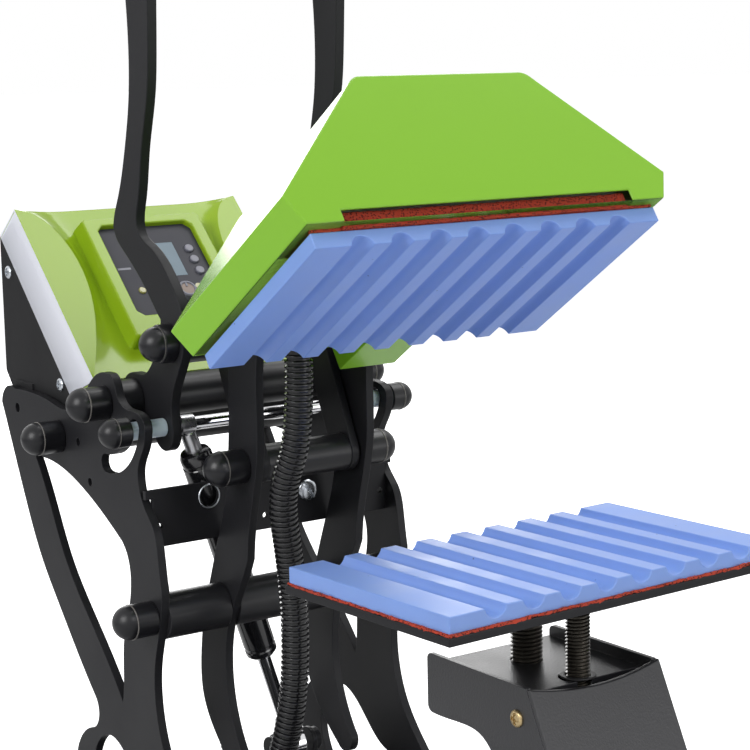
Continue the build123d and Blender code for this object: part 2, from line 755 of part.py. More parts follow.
# =============================== TOGGLE LINKS ====================================
link_length = hypot(link_pivot[0] - lever_pin[0], link_pivot[1] - lever_pin[1])
link_angle = degrees(atan2(link_pivot[1] - lever_pin[1], link_pivot[0] - lever_pin[0]))
link_mid = ((link_pivot[0] + lever_pin[0]) / 2, (link_pivot[1] + lever_pin[1]) / 2)
with BuildPart() as toggle_links:
    for start in (link_x, -link_x - link_t):
        with BuildSketch(Plane.YZ.offset(start)):
            with Locations(link_mid):
                SlotCenterToCenter(link_length, link_w, rotation=link_angle)
            with Locations(link_pivot):
                Circle(shaft_r + running_gap, mode=Mode.SUBTRACT)
        extrude(amount=link_t)
toggle_links.part.label = "toggle_links"
export_step(toggle_links.part, "parts/toggle_links.step")

with BuildPart() as toggle_tube:
    rod(lever_pin, link_tube_r, -link_x, link_x)
toggle_tube.part.label = "toggle_tube"
export_step(toggle_tube.part, "parts/toggle_tube.step")

# =============================== PRESS LEVERS ====================================


def lever_outline():
    """A press lever in the side view, from below its pivot to its seat inside the head."""
    with BuildSketch(Plane.YZ) as outline:
        with BuildLine():
            Spline((60, 85), (78, 101), (91.4, 122.2), (92.3, 148.7), (88, 170), (79.2, 194), (69, 218.9),
                   (59.1, 243.8), (53.9, 273.3), (51.5, 300), (50.8, 321.8))
            Spline((50.8, 321.8), (49, 342), (39, 358), (22, 369), head_point(0, 60),
                   head_point(neck_v + 10, neck_n + neck_w / 2))
            Line(head_point(neck_v + 10, neck_n + neck_w / 2), head_point(neck_v + 10, neck_n - neck_w / 2))
            Line(head_point(neck_v + 10, neck_n - neck_w / 2), head_point(-10, neck_n - neck_w / 2))
            Spline(head_point(-10, neck_n - neck_w / 2), (6, 346), (17, 337), (20.9, 325), (22.2, 304),
                   (22.8, 275), (32.4, 236.9), (36.4, 213.4))
            Spline((36.4, 213.4), (44.3, 198.6), (60.5, 168.4), (63.7, 152.9), (63.3, 133.4),
                   (58.3, 114.4), (46, 93))
            ThreePointArc((46, 93), (50, 83), (60, 85))
        make_face()
        with Locations(lever_pivot):
            Circle(shaft_r + running_gap, mode=Mode.SUBTRACT)
        with Locations(lever_pin):
            Circle(shaft_r, mode=Mode.SUBTRACT)
        for v in neck_bolts:
            with Locations(head_point(v, neck_n)):
                Circle(bolt_r, mode=Mode.SUBTRACT)
    return outline.sketch_local


lever_profile = lever_outline()
for side, name in ((-1, "left_press_lever"), (1, "right_press_lever")):
    with BuildPart() as press_lever:
        with BuildSketch(Plane.YZ.offset(lever_x if side > 0 else -lever_out)):
            add(lever_profile)
        extrude(amount=lever_t)
    press_lever.part.label = name
    export_step(press_lever.part, f"parts/{name}.step")

with BuildPart() as lever_dome_caps:
    for end in (-1, 1):
        rod(lever_pin, shaft_r, end * lever_x, end * lever_out)
        dome_cap(lever_pin, cap_r, end * lever_out, end * cap_ring)
lever_dome_caps.part.label = "lever_dome_caps"
export_step(lever_dome_caps.part, "parts/lever_dome_caps.step")

# =============================== HEAD ============================================
sponge_n = pad_h
block_n = sponge_n + head_sponge_t
board_n = block_n + block_h
bracket_n = board_n + board_h
pad_mid_y = -pad_d / 2

with BuildPart() as head_pad:
    with BuildSketch(head_plane(0)):
        with Locations((0, pad_mid_y)):
            Rectangle(pad_w, pad_d)
    extrude(amount=pad_h)
    pad_grooves(head_section(pad_d / 2), groove_depth - groove_r)
head_pad.part.label = "head_pad"
export_step(head_pad.part, "parts/head_pad.step")

with BuildPart() as head_sponge:
    with BuildSketch(head_plane(sponge_n)):
        with Locations((0, pad_mid_y)):
            Rectangle(pad_w - 0.6, pad_d - 0.6)
    extrude(amount=head_sponge_t)
head_sponge.part.label = "head_sponge"
export_step(head_sponge.part, "parts/head_sponge.step")

with BuildPart() as heating_block:
    with BuildSketch(head_plane(block_n)):
        with Locations((0, pad_mid_y)):
            Rectangle(pad_w, pad_d - 2)
    extrude(amount=block_h)
heating_block.part.label = "heating_block"
export_step(heating_block.part, "parts/heating_block.step")

with BuildPart() as insulation_board:
    with BuildSketch(head_plane(board_n)):
        with Locations((0, pad_mid_y)):
            Rectangle(pad_w - 10, pad_d - 12)
    extrude(amount=board_h)
insulation_board.part.label = "insulation_board"
export_step(insulation_board.part, "parts/insulation_board.step")

# The head bracket is a bent plate whose two ears stand between the levers.
ear_x = lever_x - bracket_t
with BuildPart() as head_bracket:
    with BuildSketch(head_plane(bracket_n)):
        with Locations((0, -(bracket_back + bracket_front) / 2)):
            Rectangle(2 * lever_x, bracket_front - bracket_back)
    extrude(amount=bracket_t)
    for start in (ear_x, -lever_x):
        with BuildSketch(Plane.YZ.offset(start)):
            with BuildLine():
                Polyline(head_point(bracket_back, bracket_n), head_point(bracket_front, bracket_n),
                         head_point(bracket_front, neck_n + bracket_over),
                         head_point(bracket_back, neck_n + bracket_over), close=True)
            make_face()
            for v in neck_bolts:
                with Locations(head_point(v, neck_n)):
                    Circle(bolt_r, mode=Mode.SUBTRACT)
        extrude(amount=bracket_t)
head_bracket.part.label = "head_bracket"
export_step(head_bracket.part, "parts/head_bracket.step")

with BuildPart() as neck_screws:
    for v in neck_bolts:
        at = head_point(v, neck_n)
        for end in (-1, 1):
            rod(at, bolt_r, end * ear_x, end * lever_out)
            rod(at, bolt_head_r, end * lever_out, end * (lever_out + bolt_head_h))
neck_screws.part.label = "neck_screws"
export_step(neck_screws.part, "parts/neck_screws.step")

# The cover is a sheet shell: a roofed prism open below, with a hood behind open at its rear.
def roof_outline(section, inset, low):
    """The cover's cross-section at one plane, moved inward by a wall."""
    slope = inset * roof_slope
    with BuildSketch(section) as outline:
        with BuildLine():
            Polyline((-cover_low_half + inset, low), (-shoulder_half + inset, shoulder_n),
                     (-roof_half + slope, roof_n - inset), (roof_half - slope, roof_n - inset),
                     (shoulder_half - inset, shoulder_n), (cover_low_half - inset, low), close=True)
        make_face()
        fillet(outline.vertices().group_by(Axis.Y)[-1], roof_corner_r - inset)
    return outline.sketch


def hood_outline(inset):
    """The hood's cross-section, moved inward by a wall; its right half hangs lower."""
    low, drop_low, top = hood_low + inset, hood_drop_low + inset, hood_top - inset
    right, left = hood_half - inset, hood_drop_left + inset
    with BuildSketch(head_section(hood_back)) as outline:
        with Locations((0, (low + top) / 2)):
            Rectangle(2 * right, top - low)
        with Locations(((left + right) / 2, (drop_low + top) / 2)):
            Rectangle(right - left, top - drop_low)
    return outline.sketch


with BuildPart() as head_cover:
    extrude(roof_outline(head_section(cover_back), 0, cover_low), amount=cover_front - cover_back)
    extrude(hood_outline(0), amount=cover_back - hood_back + cover_wall)
    extrude(roof_outline(head_section(cover_back + cover_wall), cover_wall, cover_low - 1),
            amount=cover_front - cover_back - 2 * cover_wall, mode=Mode.SUBTRACT)
    extrude(hood_outline(cover_wall), amount=cover_back - hood_back + 2 * cover_wall, mode=Mode.SUBTRACT)
    with BuildSketch(head_section(cover_front - 3 * cover_wall)):
        with Locations((0, skirt_n / 2)):
            Rectangle(2 * skirt_half, skirt_n)
    extrude(amount=4 * cover_wall, mode=Mode.SUBTRACT)
    with BuildSketch(head_plane(hood_low - 1)):
        with Locations((gland_u, -gland_v)):
            Circle(conduit_r + gland_play)
    extrude(amount=2 * cover_wall + 1, mode=Mode.SUBTRACT)
head_cover.part.label = "head_cover"
export_step(head_cover.part, "parts/head_cover.step")

# A ball gland swivels in the hood's floor, and the wire conduit hangs straight down from it.
gland_r = conduit_r + 1
gland_at = head_point(gland_v, hood_low + cover_wall / 2)
conduit_top = (gland_u, gland_at[0], gland_at[1] - gland_drop)
with BuildPart() as conduit_gland:
    with Locations((gland_u, *gland_at)):
        Sphere(gland_r)
    with BuildSketch(Plane.XY.offset(conduit_top[2])):
        with Locations(conduit_top[:2]):
            Circle(gland_r)
    extrude(amount=gland_lip)
conduit_gland.part.label = "conduit_gland"
export_step(conduit_gland.part, "parts/conduit_gland.step")

# =============================== WIRE CONDUIT ====================================
conduit_points = [
    conduit_top,
    (gland_u, conduit_top[1], 288.0),
    (-35.5, 6.0, 256.0),
    (-27.0, 10.0, 213.0),
    (-25.5, 9.0, 170.0),
    (-29.5, 9.0, 128.0),
    (-36.0, 22.0, 82.0),
    (-32.0, 52.0, 40.0),
    (-22.0, 92.0, 28.2),
    (2.0, 136.0, 28.2),
    (34.0, 172.0, 30.0),
    (44.0, 204.0, 46.0),
    (41.0, 217.0, 92.0),
    (53.0, 218.0, 150.0),
    (66.0, 213.0, 215.0),
    (68.0, 212.0, back_low_z),
]


def route_radii(points):
    """The largest arc at each inner point that its two straight runs leave room for."""
    places = [Vector(*p) for p in points]
    radii = []
    for before, corner, after in zip(places, places[1:], places[2:]):
        turn = (corner - before).get_angle(after - corner)
        run = min((corner - before).length, (after - corner).length)
        radii.append(0.45 * run / tan(radians(turn / 2)))
    return radii


conduit_radii = route_radii(conduit_points)
print("conduit radii", [round(r, 1) for r in conduit_radii])
with BuildPart() as wire_conduit:
    with BuildLine() as conduit_path:
        FilletPolyline(*conduit_points, radius=conduit_radii)
    with BuildSketch(Plane(origin=conduit_points[0], z_dir=conduit_path.line @ 0 - conduit_path.line @ 0.01)):
        Circle(conduit_r)
    sweep(path=conduit_path.line)
conduit_length = sum(edge.length for edge in conduit_path.edges())
print("conduit length", round(conduit_length, 1), "volume ratio",
      round(wire_conduit.part.volume / (conduit_length * pi * conduit_r**2), 4))
wire_conduit.part.label = "wire_conduit"
export_step(wire_conduit.part, "parts/wire_conduit.step")

# =============================== CONTROL BOX =====================================
slope = atan2(box_head[1] - box_foot[1], box_head[0] - box_foot[0])


def box_plane(height):
    """A plane on the box's front slope, proud of it by a height; its own y runs up-slope."""
    origin = (0, box_foot[0] - height * sin(slope), box_foot[1] + height * cos(slope))
    return Plane(origin=origin, x_dir=(1, 0, 0), z_dir=(0, -sin(slope), cos(slope)))


def panel_outline(half, low, high, chamfer_size):
    """A rectangle on the slope with its corners cut off."""
    with BuildSketch(Plane.XY) as outline:
        with Locations((0, (low + high) / 2)):
            Rectangle(2 * half, high - low)
        chamfer(outline.vertices(), chamfer_size)
    return outline.sketch


with BuildPart() as control_box_shell:
    with BuildSketch(Plane.YZ.offset(-box_half)):
        with BuildLine():
            Polyline(box_foot, box_head, band_head, band_foot, close=True)
        make_face()
    extrude(amount=2 * box_half)
    open_side = control_box_shell.faces().sort_by(Axis((0, 0, 0), (0, sin(slope), -cos(slope))))[-1]
    offset(amount=-box_wall, openings=open_side)
    with BuildSketch(box_plane(-2 * box_wall)):
        with Locations((0, (panel_low + panel_high) / 2)):
            Rectangle(2 * (panel_half - panel_lip), panel_high - panel_low - 2 * panel_lip)
    extrude(amount=3 * box_wall, mode=Mode.SUBTRACT)
    with BuildSketch(box_plane(0)):
        add(panel_outline(bezel_half, bezel_low, bezel_high, bezel_chamfer))
        add(panel_outline(panel_half, panel_low, panel_high, panel_chamfer), mode=Mode.SUBTRACT)
    extrude(amount=bezel_h)
control_box_shell.part.label = "control_box_shell"
export_step(control_box_shell.part, "parts/control_box_shell.step")

flange_t = back_end_y - band_head[0]
with BuildPart() as control_box_back:
    with BuildSketch(Plane.YZ.offset(-box_half)):
        with BuildLine():
            Polyline(band_foot, band_head, *box_tail, close=True)
        make_face()
    extrude(amount=2 * box_half)
    open_side = control_box_back.faces().sort_by(Axis((0, 0, 0), (0, -sin(slope), cos(slope))))[-1]
    offset(amount=-back_wall, openings=open_side)
    for start in (plate_x - box_ear_t, -plate_x):
        with BuildSketch(Plane.YZ.offset(start)):
            with Locations((box_bolt[0], box_bolt[1] + box_ear_up)):
                Rectangle(box_ear_w, box_ear_l)
        extrude(amount=box_ear_t)
    rod(box_bolt, bolt_r, -plate_x, plate_x, Mode.SUBTRACT)
    with BuildSketch(Plane.XZ.offset(-band_head[0])):
        with Locations((inlet_x, inlet_z)):
            Rectangle(2 * inlet_half_w, 2 * inlet_half_h)
        with Locations((rocker_x, inlet_z)):
            Rectangle(2 * rocker_half_w, 2 * rocker_half_h)
    extrude(amount=3 * back_wall, mode=Mode.SUBTRACT)
    with BuildSketch(Plane.XY.offset(back_low_z - 1)):
        with Locations(conduit_points[-1][:2]):
            Circle(conduit_r)
    extrude(amount=2 * back_wall, mode=Mode.SUBTRACT)
control_box_back.part.label = "control_box_back"
export_step(control_box_back.part, "parts/control_box_back.step")

# Small screws: through the pedestal's cheeks, on the box's ends and in the cross plate.
with BuildPart() as frame_screws:
    for end in (-1, 1):
        for at in box_screws:
            rod(at, box_screw_r, end * box_half, end * (box_half + box_screw_h))
        for at in (cover_screw, foot_screw):
            rod(at, bolt_r, end * cheek_x, end * pedestal_half)
            rod(at, side_screw_r, end * pedestal_half, end * (pedestal_half + side_screw_h))
    with BuildSketch(Plane.XZ.offset(-cross_y - cross_t)):
        with Locations(cross_screw_at):
            Circle(cross_screw_r)
    extrude(amount=cross_t)
    with BuildSketch(Plane.XZ.offset(-cross_y)):
        with Locations(cross_screw_at):
            Circle(cross_screw_head_r)
    extrude(amount=cross_screw_head_h)
frame_screws.part.label = "frame_screws"
export_step(frame_screws.part, "parts/frame_screws.step")

with BuildPart() as control_panel:
    with BuildSketch(box_plane(0)):
        add(panel_outline(panel_half, panel_low, panel_high, panel_chamfer))
        with Locations(*[(button_u, s) for s in button_places.values()]):
            Circle(button_r + button_gap, mode=Mode.SUBTRACT)
        with Locations(*lamp_places):
            Circle(lamp_r, mode=Mode.SUBTRACT)
        with Locations(knob_place):
            Circle(set_spindle_r + button_gap, mode=Mode.SUBTRACT)
        with Locations(((lcd_left + lcd_right) / 2, (lcd_low + lcd_high) / 2)):
            Rectangle(lcd_right - lcd_left, lcd_high - lcd_low, mode=Mode.SUBTRACT)
    extrude(amount=panel_rise)
control_panel.part.label = "control_panel"
export_step(control_panel.part, "parts/control_panel.step")

with BuildPart() as lcd_window:
    with BuildSketch(box_plane(0)):
        with Locations(((lcd_left + lcd_right) / 2, (lcd_low + lcd_high) / 2)):
            Rectangle(lcd_right - lcd_left, lcd_high - lcd_low)
    extrude(amount=panel_rise)
lcd_window.part.label = "lcd_window"
export_step(lcd_window.part, "parts/lcd_window.step")

with BuildPart() as indicator_lamps:
    with BuildSketch(box_plane(board_top)):
        with Locations(*lamp_places):
            Circle(lamp_r)
    extrude(amount=panel_rise + 1 - board_top)
    fillet(indicator_lamps.edges().filter_by(GeomType.CIRCLE).sort_by(Axis.Z)[-1:], 0.8)
indicator_lamps.part.label = "indicator_lamps"
export_step(indicator_lamps.part, "parts/indicator_lamps.step")

with BuildPart() as circuit_board:
    with BuildSketch(box_plane(board_top - board_thick)):
        with Locations((0, (panel_low + panel_high) / 2)):
            Rectangle(board_w, board_l)
    extrude(amount=board_thick)
    with BuildSketch(box_plane(board_top)):
        with Locations((0, (panel_low + panel_high) / 2)):
            with GridLocations(*board_posts, 2, 2):
                Circle(board_post_r)
    extrude(amount=-board_top - box_wall)
    with BuildSketch(box_plane(board_top - board_thick)):
        with Locations(*board_part_places):
            Rectangle(board_part_w, board_part_w)
    extrude(amount=-board_part_h)
circuit_board.part.label = "circuit_board"
export_step(circuit_board.part, "parts/circuit_board.step")

# Each button is a pin through the panel, 1 mm above its switch on the board.
for name, s in button_places.items():
    with BuildPart() as button:
        with BuildSketch(box_plane(board_top + button_stroke + switch_gap)):
            with Locations((button_u, s)):
                Circle(button_r)
        extrude(amount=panel_rise + button_rise - board_top - button_stroke - switch_gap)
        fillet(button.edges().filter_by(GeomType.CIRCLE).sort_by(Axis.Z)[-1:], 0.7)
    button.part.label = name
    export_step(button.part, f"parts/{name}.step")

with BuildPart() as set_knob:
    with BuildSketch(box_plane(board_top + switch_gap)):
        with Locations(knob_place):
            Circle(set_spindle_r)
    extrude(amount=panel_rise + 1 - board_top)
    with BuildSketch(box_plane(panel_rise + button_gap)):
        with Locations(knob_place):
            Circle(set_knob_r)
    extrude(amount=set_knob_h)
    with BuildSketch(box_plane(panel_rise + button_gap + set_knob_h)):
        with Locations((knob_place[0], knob_place[1] + set_knob_r - set_mark[1] / 2)):
            Rectangle(set_mark[0], set_mark[1])
    extrude(amount=-set_mark[2], mode=Mode.SUBTRACT)
set_knob.part.label = "set_knob"
export_step(set_knob.part, "parts/set_knob.step")

with BuildPart() as power_module:
    with BuildSketch(Plane.XY.offset(back_low_z + back_wall)):
        with Locations(module_at):
            Rectangle(module_low[0], module_low[1])
    extrude(amount=module_low[2])
    with BuildSketch(Plane.XY.offset(back_low_z + back_wall)):
        with Locations(module_at):
            Rectangle(module_cross[0], module_cross[1])
    extrude(amount=module_cross[2])
power_module.part.label = "power_module"
export_step(power_module.part, "parts/power_module.step")

with BuildPart() as power_inlet:
    with BuildSketch(Plane.XZ.offset(-back_end_y)):
        with Locations((inlet_x, inlet_z)):
            Rectangle(2 * inlet_half_w + inlet_rim[0], 2 * inlet_half_h + inlet_rim[1])
    extrude(amount=flange_t)
    with BuildSketch(Plane.XZ.offset(-back_end_y)):
        with Locations((inlet_x, inlet_z)):
            Rectangle(2 * inlet_half_w, 2 * inlet_half_h)
    extrude(amount=inlet_depth)
    with BuildSketch(Plane.XZ.offset(-back_end_y)):
        with Locations((inlet_x, inlet_z)):
            Rectangle(inlet_well[0], inlet_well[1])
            with Locations(*blade_places):
                Rectangle(*blade_size, mode=Mode.SUBTRACT)
    extrude(amount=inlet_well[2], mode=Mode.SUBTRACT)
power_inlet.part.label = "power_inlet"
export_step(power_inlet.part, "parts/power_inlet.step")

rocker_y = back_end_y - rocker_r
with BuildPart() as rocker_housing:
    with BuildSketch(Plane.XZ.offset(-back_end_y)):
        with Locations((rocker_x, inlet_z)):
            Rectangle(2 * rocker_half_w + rocker_rim, 2 * rocker_half_h + rocker_rim)
    extrude(amount=flange_t)
    with BuildSketch(Plane.XZ.offset(-back_end_y)):
        with Locations((rocker_x, inlet_z)):
            Rectangle(2 * rocker_half_w, 2 * rocker_half_h)
    extrude(amount=rocker_depth)
    with BuildSketch(Plane.XZ.offset(-back_end_y)):
        with Locations((rocker_x, inlet_z)):
            Rectangle(2 * (rocker_half_w - rocker_wall), 2 * (rocker_r + rocker_gap))
    extrude(amount=2 * (rocker_r + rocker_gap), mode=Mode.SUBTRACT)
rocker_housing.part.label = "rocker_housing"
export_step(rocker_housing.part, "parts/rocker_housing.step")

# The rocker turns about X; two flats on its face meet in a shallow V.
rocker_half = rocker_half_w - rocker_wall - rocker_gap
with BuildPart() as rocker_switch:
    with BuildSketch(Plane.YZ.offset(rocker_x - rocker_half)):
        with Locations((rocker_y, inlet_z)):
            Circle(rocker_r)
        with BuildLine():
            Polyline((back_end_y + 1, inlet_z + 6), (back_end_y - 0.6, inlet_z + 4),
                     (back_end_y - 1.6, inlet_z), (back_end_y - 0.6, inlet_z - 4),
                     (back_end_y + 1, inlet_z - 6), close=True)
        make_face(mode=Mode.SUBTRACT)
    extrude(amount=2 * rocker_half)
rocker_switch.part.label = "rocker_switch"
export_step(rocker_switch.part, "parts/rocker_switch.step")

# =============================== GAS SPRING ======================================
spring_top = Vector(spring_top_x, *guide_rod_at)
spring_end = Vector(*spring_foot)
spring_dir = (spring_end - spring_top).normalized()
spring_length = (spring_end - spring_top).length


def spring_bar(start, end, radius, mode=Mode.ADD):
    """A round bar along the spring between two distances from its top eye."""
    with BuildSketch(Plane(origin=spring_top + spring_dir * start, z_dir=spring_dir)) as section:
        Circle(radius)
    extrude(section.sketch, amount=end - start, mode=mode)


with BuildPart() as spring_cylinder:
    rod(guide_rod_at, spring_hook_r, spring_top_x - spring_hook_w / 2, spring_top_x + spring_hook_w / 2)
    spring_bar(0, spring_body_start, spring_stem_r)
    rod(guide_rod_at, guide_rod_r + eye_gap, spring_top_x - spring_hook_w, spring_top_x + spring_hook_w,
        Mode.SUBTRACT)
    spring_bar(spring_body_start, spring_body_end, spring_r)
    spring_bar(spring_bore_top, spring_body_end, spring_rod_r + running_gap, Mode.SUBTRACT)
spring_cylinder.part.label = "spring_cylinder"
export_step(spring_cylinder.part, "parts/spring_cylinder.step")

with BuildPart() as spring_rod:
    spring_bar(spring_rod_top, spring_length - spring_eye_r / 2, spring_rod_r)
    rod(spring_foot[1:], spring_eye_r, spring_foot[0] - foot_eye_half, spring_foot[0] + foot_eye_half)
spring_rod.part.label = "spring_rod"
export_step(spring_rod.part, "parts/spring_rod.step")

# The anchor's two ears stand wide of the eye, which sways a little as the spring shortens.
with BuildPart() as spring_anchor:
    for start in (spring_foot[0] - foot_eye_half - ear_gap - ear_t, spring_foot[0] + foot_eye_half + ear_gap):
        with BuildSketch(Plane.YZ.offset(start)):
            with Locations(spring_foot[1:]):
                Circle(ear_r)
            with Locations((spring_foot[1], (spring_foot[2] + base_top) / 2)):
                Rectangle(2 * ear_r, spring_foot[2] - base_top)
        extrude(amount=ear_t)
        cap_start = start - anchor_cap_h if start < spring_foot[0] else start + ear_t
        rod(spring_foot[1:], anchor_cap_r, cap_start, cap_start + anchor_cap_h)
    with BuildSketch(Plane.XY.offset(base_top)):
        with Locations(spring_foot[:2]):
            Rectangle(2 * (foot_eye_half + ear_gap + ear_t), 2 * ear_r)
    extrude(amount=ear_t)
spring_anchor.part.label = "spring_anchor"
export_step(spring_anchor.part, "parts/spring_anchor.step")
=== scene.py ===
from bisect import bisect
from math import atan2, cos, pi, radians, sin, tau

import bmesh
import bpy
from mathutils import Matrix, Vector, noise


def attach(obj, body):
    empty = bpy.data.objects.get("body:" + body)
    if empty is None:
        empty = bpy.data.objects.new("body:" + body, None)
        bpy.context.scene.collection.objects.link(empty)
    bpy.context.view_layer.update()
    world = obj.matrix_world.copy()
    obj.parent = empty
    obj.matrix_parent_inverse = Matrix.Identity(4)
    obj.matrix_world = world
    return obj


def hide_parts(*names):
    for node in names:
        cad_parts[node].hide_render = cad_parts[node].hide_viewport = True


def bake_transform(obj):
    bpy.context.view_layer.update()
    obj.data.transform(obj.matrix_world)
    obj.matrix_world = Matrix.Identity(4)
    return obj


# A lever heat press with two grooved pads. Metres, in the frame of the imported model:
# +Z up, -Y towards the operator, the origin on the table under the middle.
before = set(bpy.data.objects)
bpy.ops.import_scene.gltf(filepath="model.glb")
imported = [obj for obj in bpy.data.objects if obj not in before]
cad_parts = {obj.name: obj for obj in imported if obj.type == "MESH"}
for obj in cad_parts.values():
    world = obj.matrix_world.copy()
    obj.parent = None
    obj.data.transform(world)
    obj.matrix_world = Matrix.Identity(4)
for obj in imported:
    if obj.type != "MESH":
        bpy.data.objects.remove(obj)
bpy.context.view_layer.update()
MM = 0.001

# ---- Viewpoint ---------------------------------------------------------------------
# A long lens stands to the left of the operator, a little above the lower pad, and
# leans over by about a degree.
eye = Vector((-604.3, -910.6, 484.8)) * MM
eye_turn, eye_tilt, eye_roll = radians(-34.646), radians(8.709), radians(1.236)
eye_back = Vector((sin(eye_turn) * cos(eye_tilt), -cos(eye_turn) * cos(eye_tilt), sin(eye_tilt)))
level_right = Vector((cos(eye_turn), sin(eye_turn), 0))
level_up = eye_back.cross(level_right)
eye_right = level_right * cos(eye_roll) - level_up * sin(eye_roll)
eye_up = level_right * sin(eye_roll) + level_up * cos(eye_roll)
camera = bpy.data.objects.new("camera", bpy.data.cameras.new("camera"))
camera.data.sensor_width = 36.0
camera.data.lens = 97.18
camera.data.clip_start = 0.05
camera.matrix_world = Matrix.Translation(eye) @ Matrix((eye_right, eye_up, eye_back)).transposed().to_4x4()
bpy.context.scene.collection.objects.link(camera)
bpy.context.scene.camera = camera


# ---- Wire conduit ------------------------------------------------------------------
# Corrugated black polyamide hose that guards the heater's leads. It hangs from the
# gland in the head's hood, swings behind the lower pad and climbs to the control box.
def node_group(name, inputs, outputs):
    """An empty shader group with named sockets, given with its input and output nodes."""
    group = bpy.data.node_groups.new(name, "ShaderNodeTree")
    for label, kind, value in inputs:
        socket = group.interface.new_socket(label, in_out="INPUT", socket_type=f"NodeSocket{kind}")
        socket.default_value = value
    for label, kind in outputs:
        group.interface.new_socket(label, in_out="OUTPUT", socket_type=f"NodeSocket{kind}")
    return group, group.nodes.new("NodeGroupInput"), group.nodes.new("NodeGroupOutput")


def make_edge_group():
    """Rounds a normal over at corners and masks the corners, where coatings wear and where a painted edge
    highlight lightens them.
    """
    group, given, result = node_group("soft_edges", [("Width", "Float", 0.0005)],
                                      [("Normal", "Vector"), ("Edge", "Float")])
    nodes, link = group.nodes, group.links.new
    bevel = nodes.new("ShaderNodeBevel")
    bevel.samples = 4
    facing = nodes.new("ShaderNodeNewGeometry")
    dot = nodes.new("ShaderNodeVectorMath")
    dot.operation = "DOT_PRODUCT"
    mask = nodes.new("ShaderNodeMapRange")
    mask.inputs["From Min"].default_value = 0.985
    mask.inputs["From Max"].default_value = 0.80
    link(given.outputs["Width"], bevel.inputs["Radius"])
    link(bevel.outputs["Normal"], dot.inputs[0])
    link(facing.outputs["Normal"], dot.inputs[1])
    link(dot.outputs["Value"], mask.inputs["Value"])
    link(bevel.outputs["Normal"], result.inputs["Normal"])
    link(mask.outputs["Result"], result.inputs["Edge"])
    return group


def make_grain_group():
    """Fine grain for a bump, and a slow cloudy mask for dust and handling marks."""
    group, given, result = node_group("grain", [("Size", "Float", 0.001), ("Cloud", "Float", 0.04)],
                                      [("Height", "Float"), ("Cloudy", "Float")])
    nodes, link = group.nodes, group.links.new
    place = nodes.new("ShaderNodeTexCoord")
    for label, output, detail in (("Size", "Height", 3.0), ("Cloud", "Cloudy", 4.0)):
        scale = nodes.new("ShaderNodeMath")
        scale.operation = "DIVIDE"
        scale.inputs[0].default_value = 1.0
        field = nodes.new("ShaderNodeTexNoise")
        field.inputs["Detail"].default_value = detail
        link(given.outputs[label], scale.inputs[1])
        link(place.outputs["Object"], field.inputs["Vector"])
        link(scale.outputs["Value"], field.inputs["Scale"])
        link(field.outputs["Fac"], result.inputs[output])
    return group


edge_group = make_edge_group()
grain_group = make_grain_group()


def coated(name, colour, edge_wear_and_sheen, rough, grain=0.0006, depth=0.00002, cloud=0.05, edge=0.0005,
           rough_spread=0.12, colour_spread=0.25, metallic=0.0, coat=0.0, coat_rough=0.1, specular=0.5):
    """A painted, moulded or plated finish: grain, clouds of handling and corners made lighter, partly as wear
    and partly as a painted edge highlight.
    """
    material = bpy.data.materials.new(name)
    material.use_nodes = True
    nodes, link = material.node_tree.nodes, material.node_tree.links.new
    shader = nodes["Principled BSDF"]
    shader.inputs["Metallic"].default_value = metallic
    shader.inputs["Coat Weight"].default_value = coat
    shader.inputs["Coat Roughness"].default_value = coat_rough
    shader.inputs["Specular IOR Level"].default_value = specular
    corners = nodes.new("ShaderNodeGroup")
    corners.node_tree = edge_group
    corners.inputs["Width"].default_value = edge
    texture = nodes.new("ShaderNodeGroup")
    texture.node_tree = grain_group
    texture.inputs["Size"].default_value = grain
    texture.inputs["Cloud"].default_value = cloud
    shade = nodes.new("ShaderNodeMix")
    shade.data_type = "RGBA"
    shade.inputs["A"].default_value = (*[c * (1 - colour_spread / 2) for c in colour], 1)
    shade.inputs["B"].default_value = (*[min(1.0, c * (1 + colour_spread / 2)) for c in colour], 1)
    # Corners are mixed towards the lighter edge colour: part wear, part painted edge highlight.
    wear_and_sheen_mix = nodes.new("ShaderNodeMix")
    wear_and_sheen_mix.data_type = "RGBA"
    wear_and_sheen_mix.inputs["B"].default_value = (*edge_wear_and_sheen, 1)
    roughness = nodes.new("ShaderNodeMapRange")
    roughness.inputs["From Min"].default_value = 0.3
    roughness.inputs["From Max"].default_value = 0.7
    roughness.inputs["To Min"].default_value = max(0.03, rough - rough_spread / 2)
    roughness.inputs["To Max"].default_value = min(1.0, rough + rough_spread / 2)
    bump = nodes.new("ShaderNodeBump")
    bump.inputs["Strength"].default_value = 1.0
    bump.inputs["Distance"].default_value = depth
    link(texture.outputs["Cloudy"], shade.inputs["Factor"])
    link(shade.outputs["Result"], wear_and_sheen_mix.inputs["A"])
    link(corners.outputs["Edge"], wear_and_sheen_mix.inputs["Factor"])
    link(wear_and_sheen_mix.outputs["Result"], shader.inputs["Base Color"])
    link(texture.outputs["Cloudy"], roughness.inputs["Value"])
    link(roughness.outputs["Result"], shader.inputs["Roughness"])
    link(texture.outputs["Height"], bump.inputs["Height"])
    link(corners.outputs["Normal"], bump.inputs["Normal"])
    link(bump.outputs["Normal"], shader.inputs["Normal"])
    return material


def piece(name, bm, material, body, replaces=(), smooth=35):
    """Makes a finished bmesh an object at the origin that rides on a body."""
    mesh = bpy.data.meshes.new(name)
    bm.to_mesh(mesh)
    bm.free()
    mesh.materials.append(material)
    mesh.shade_smooth()
    mesh.set_sharp_from_angle(angle=radians(smooth))
    made = bpy.data.objects.new(name, mesh)
    bpy.context.scene.collection.objects.link(made)
    made.modifiers.new("flat_faces", "WEIGHTED_NORMAL").keep_sharp = True
    if body:
        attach(made, body)
    if replaces:
        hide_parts(*replaces)
    return made


def in_mm(profile, side=1):
    """A profile given in millimetres, in metres; side -1 turns its distances round."""
    return [(side * distance * MM, radius * MM) for distance, radius in profile]


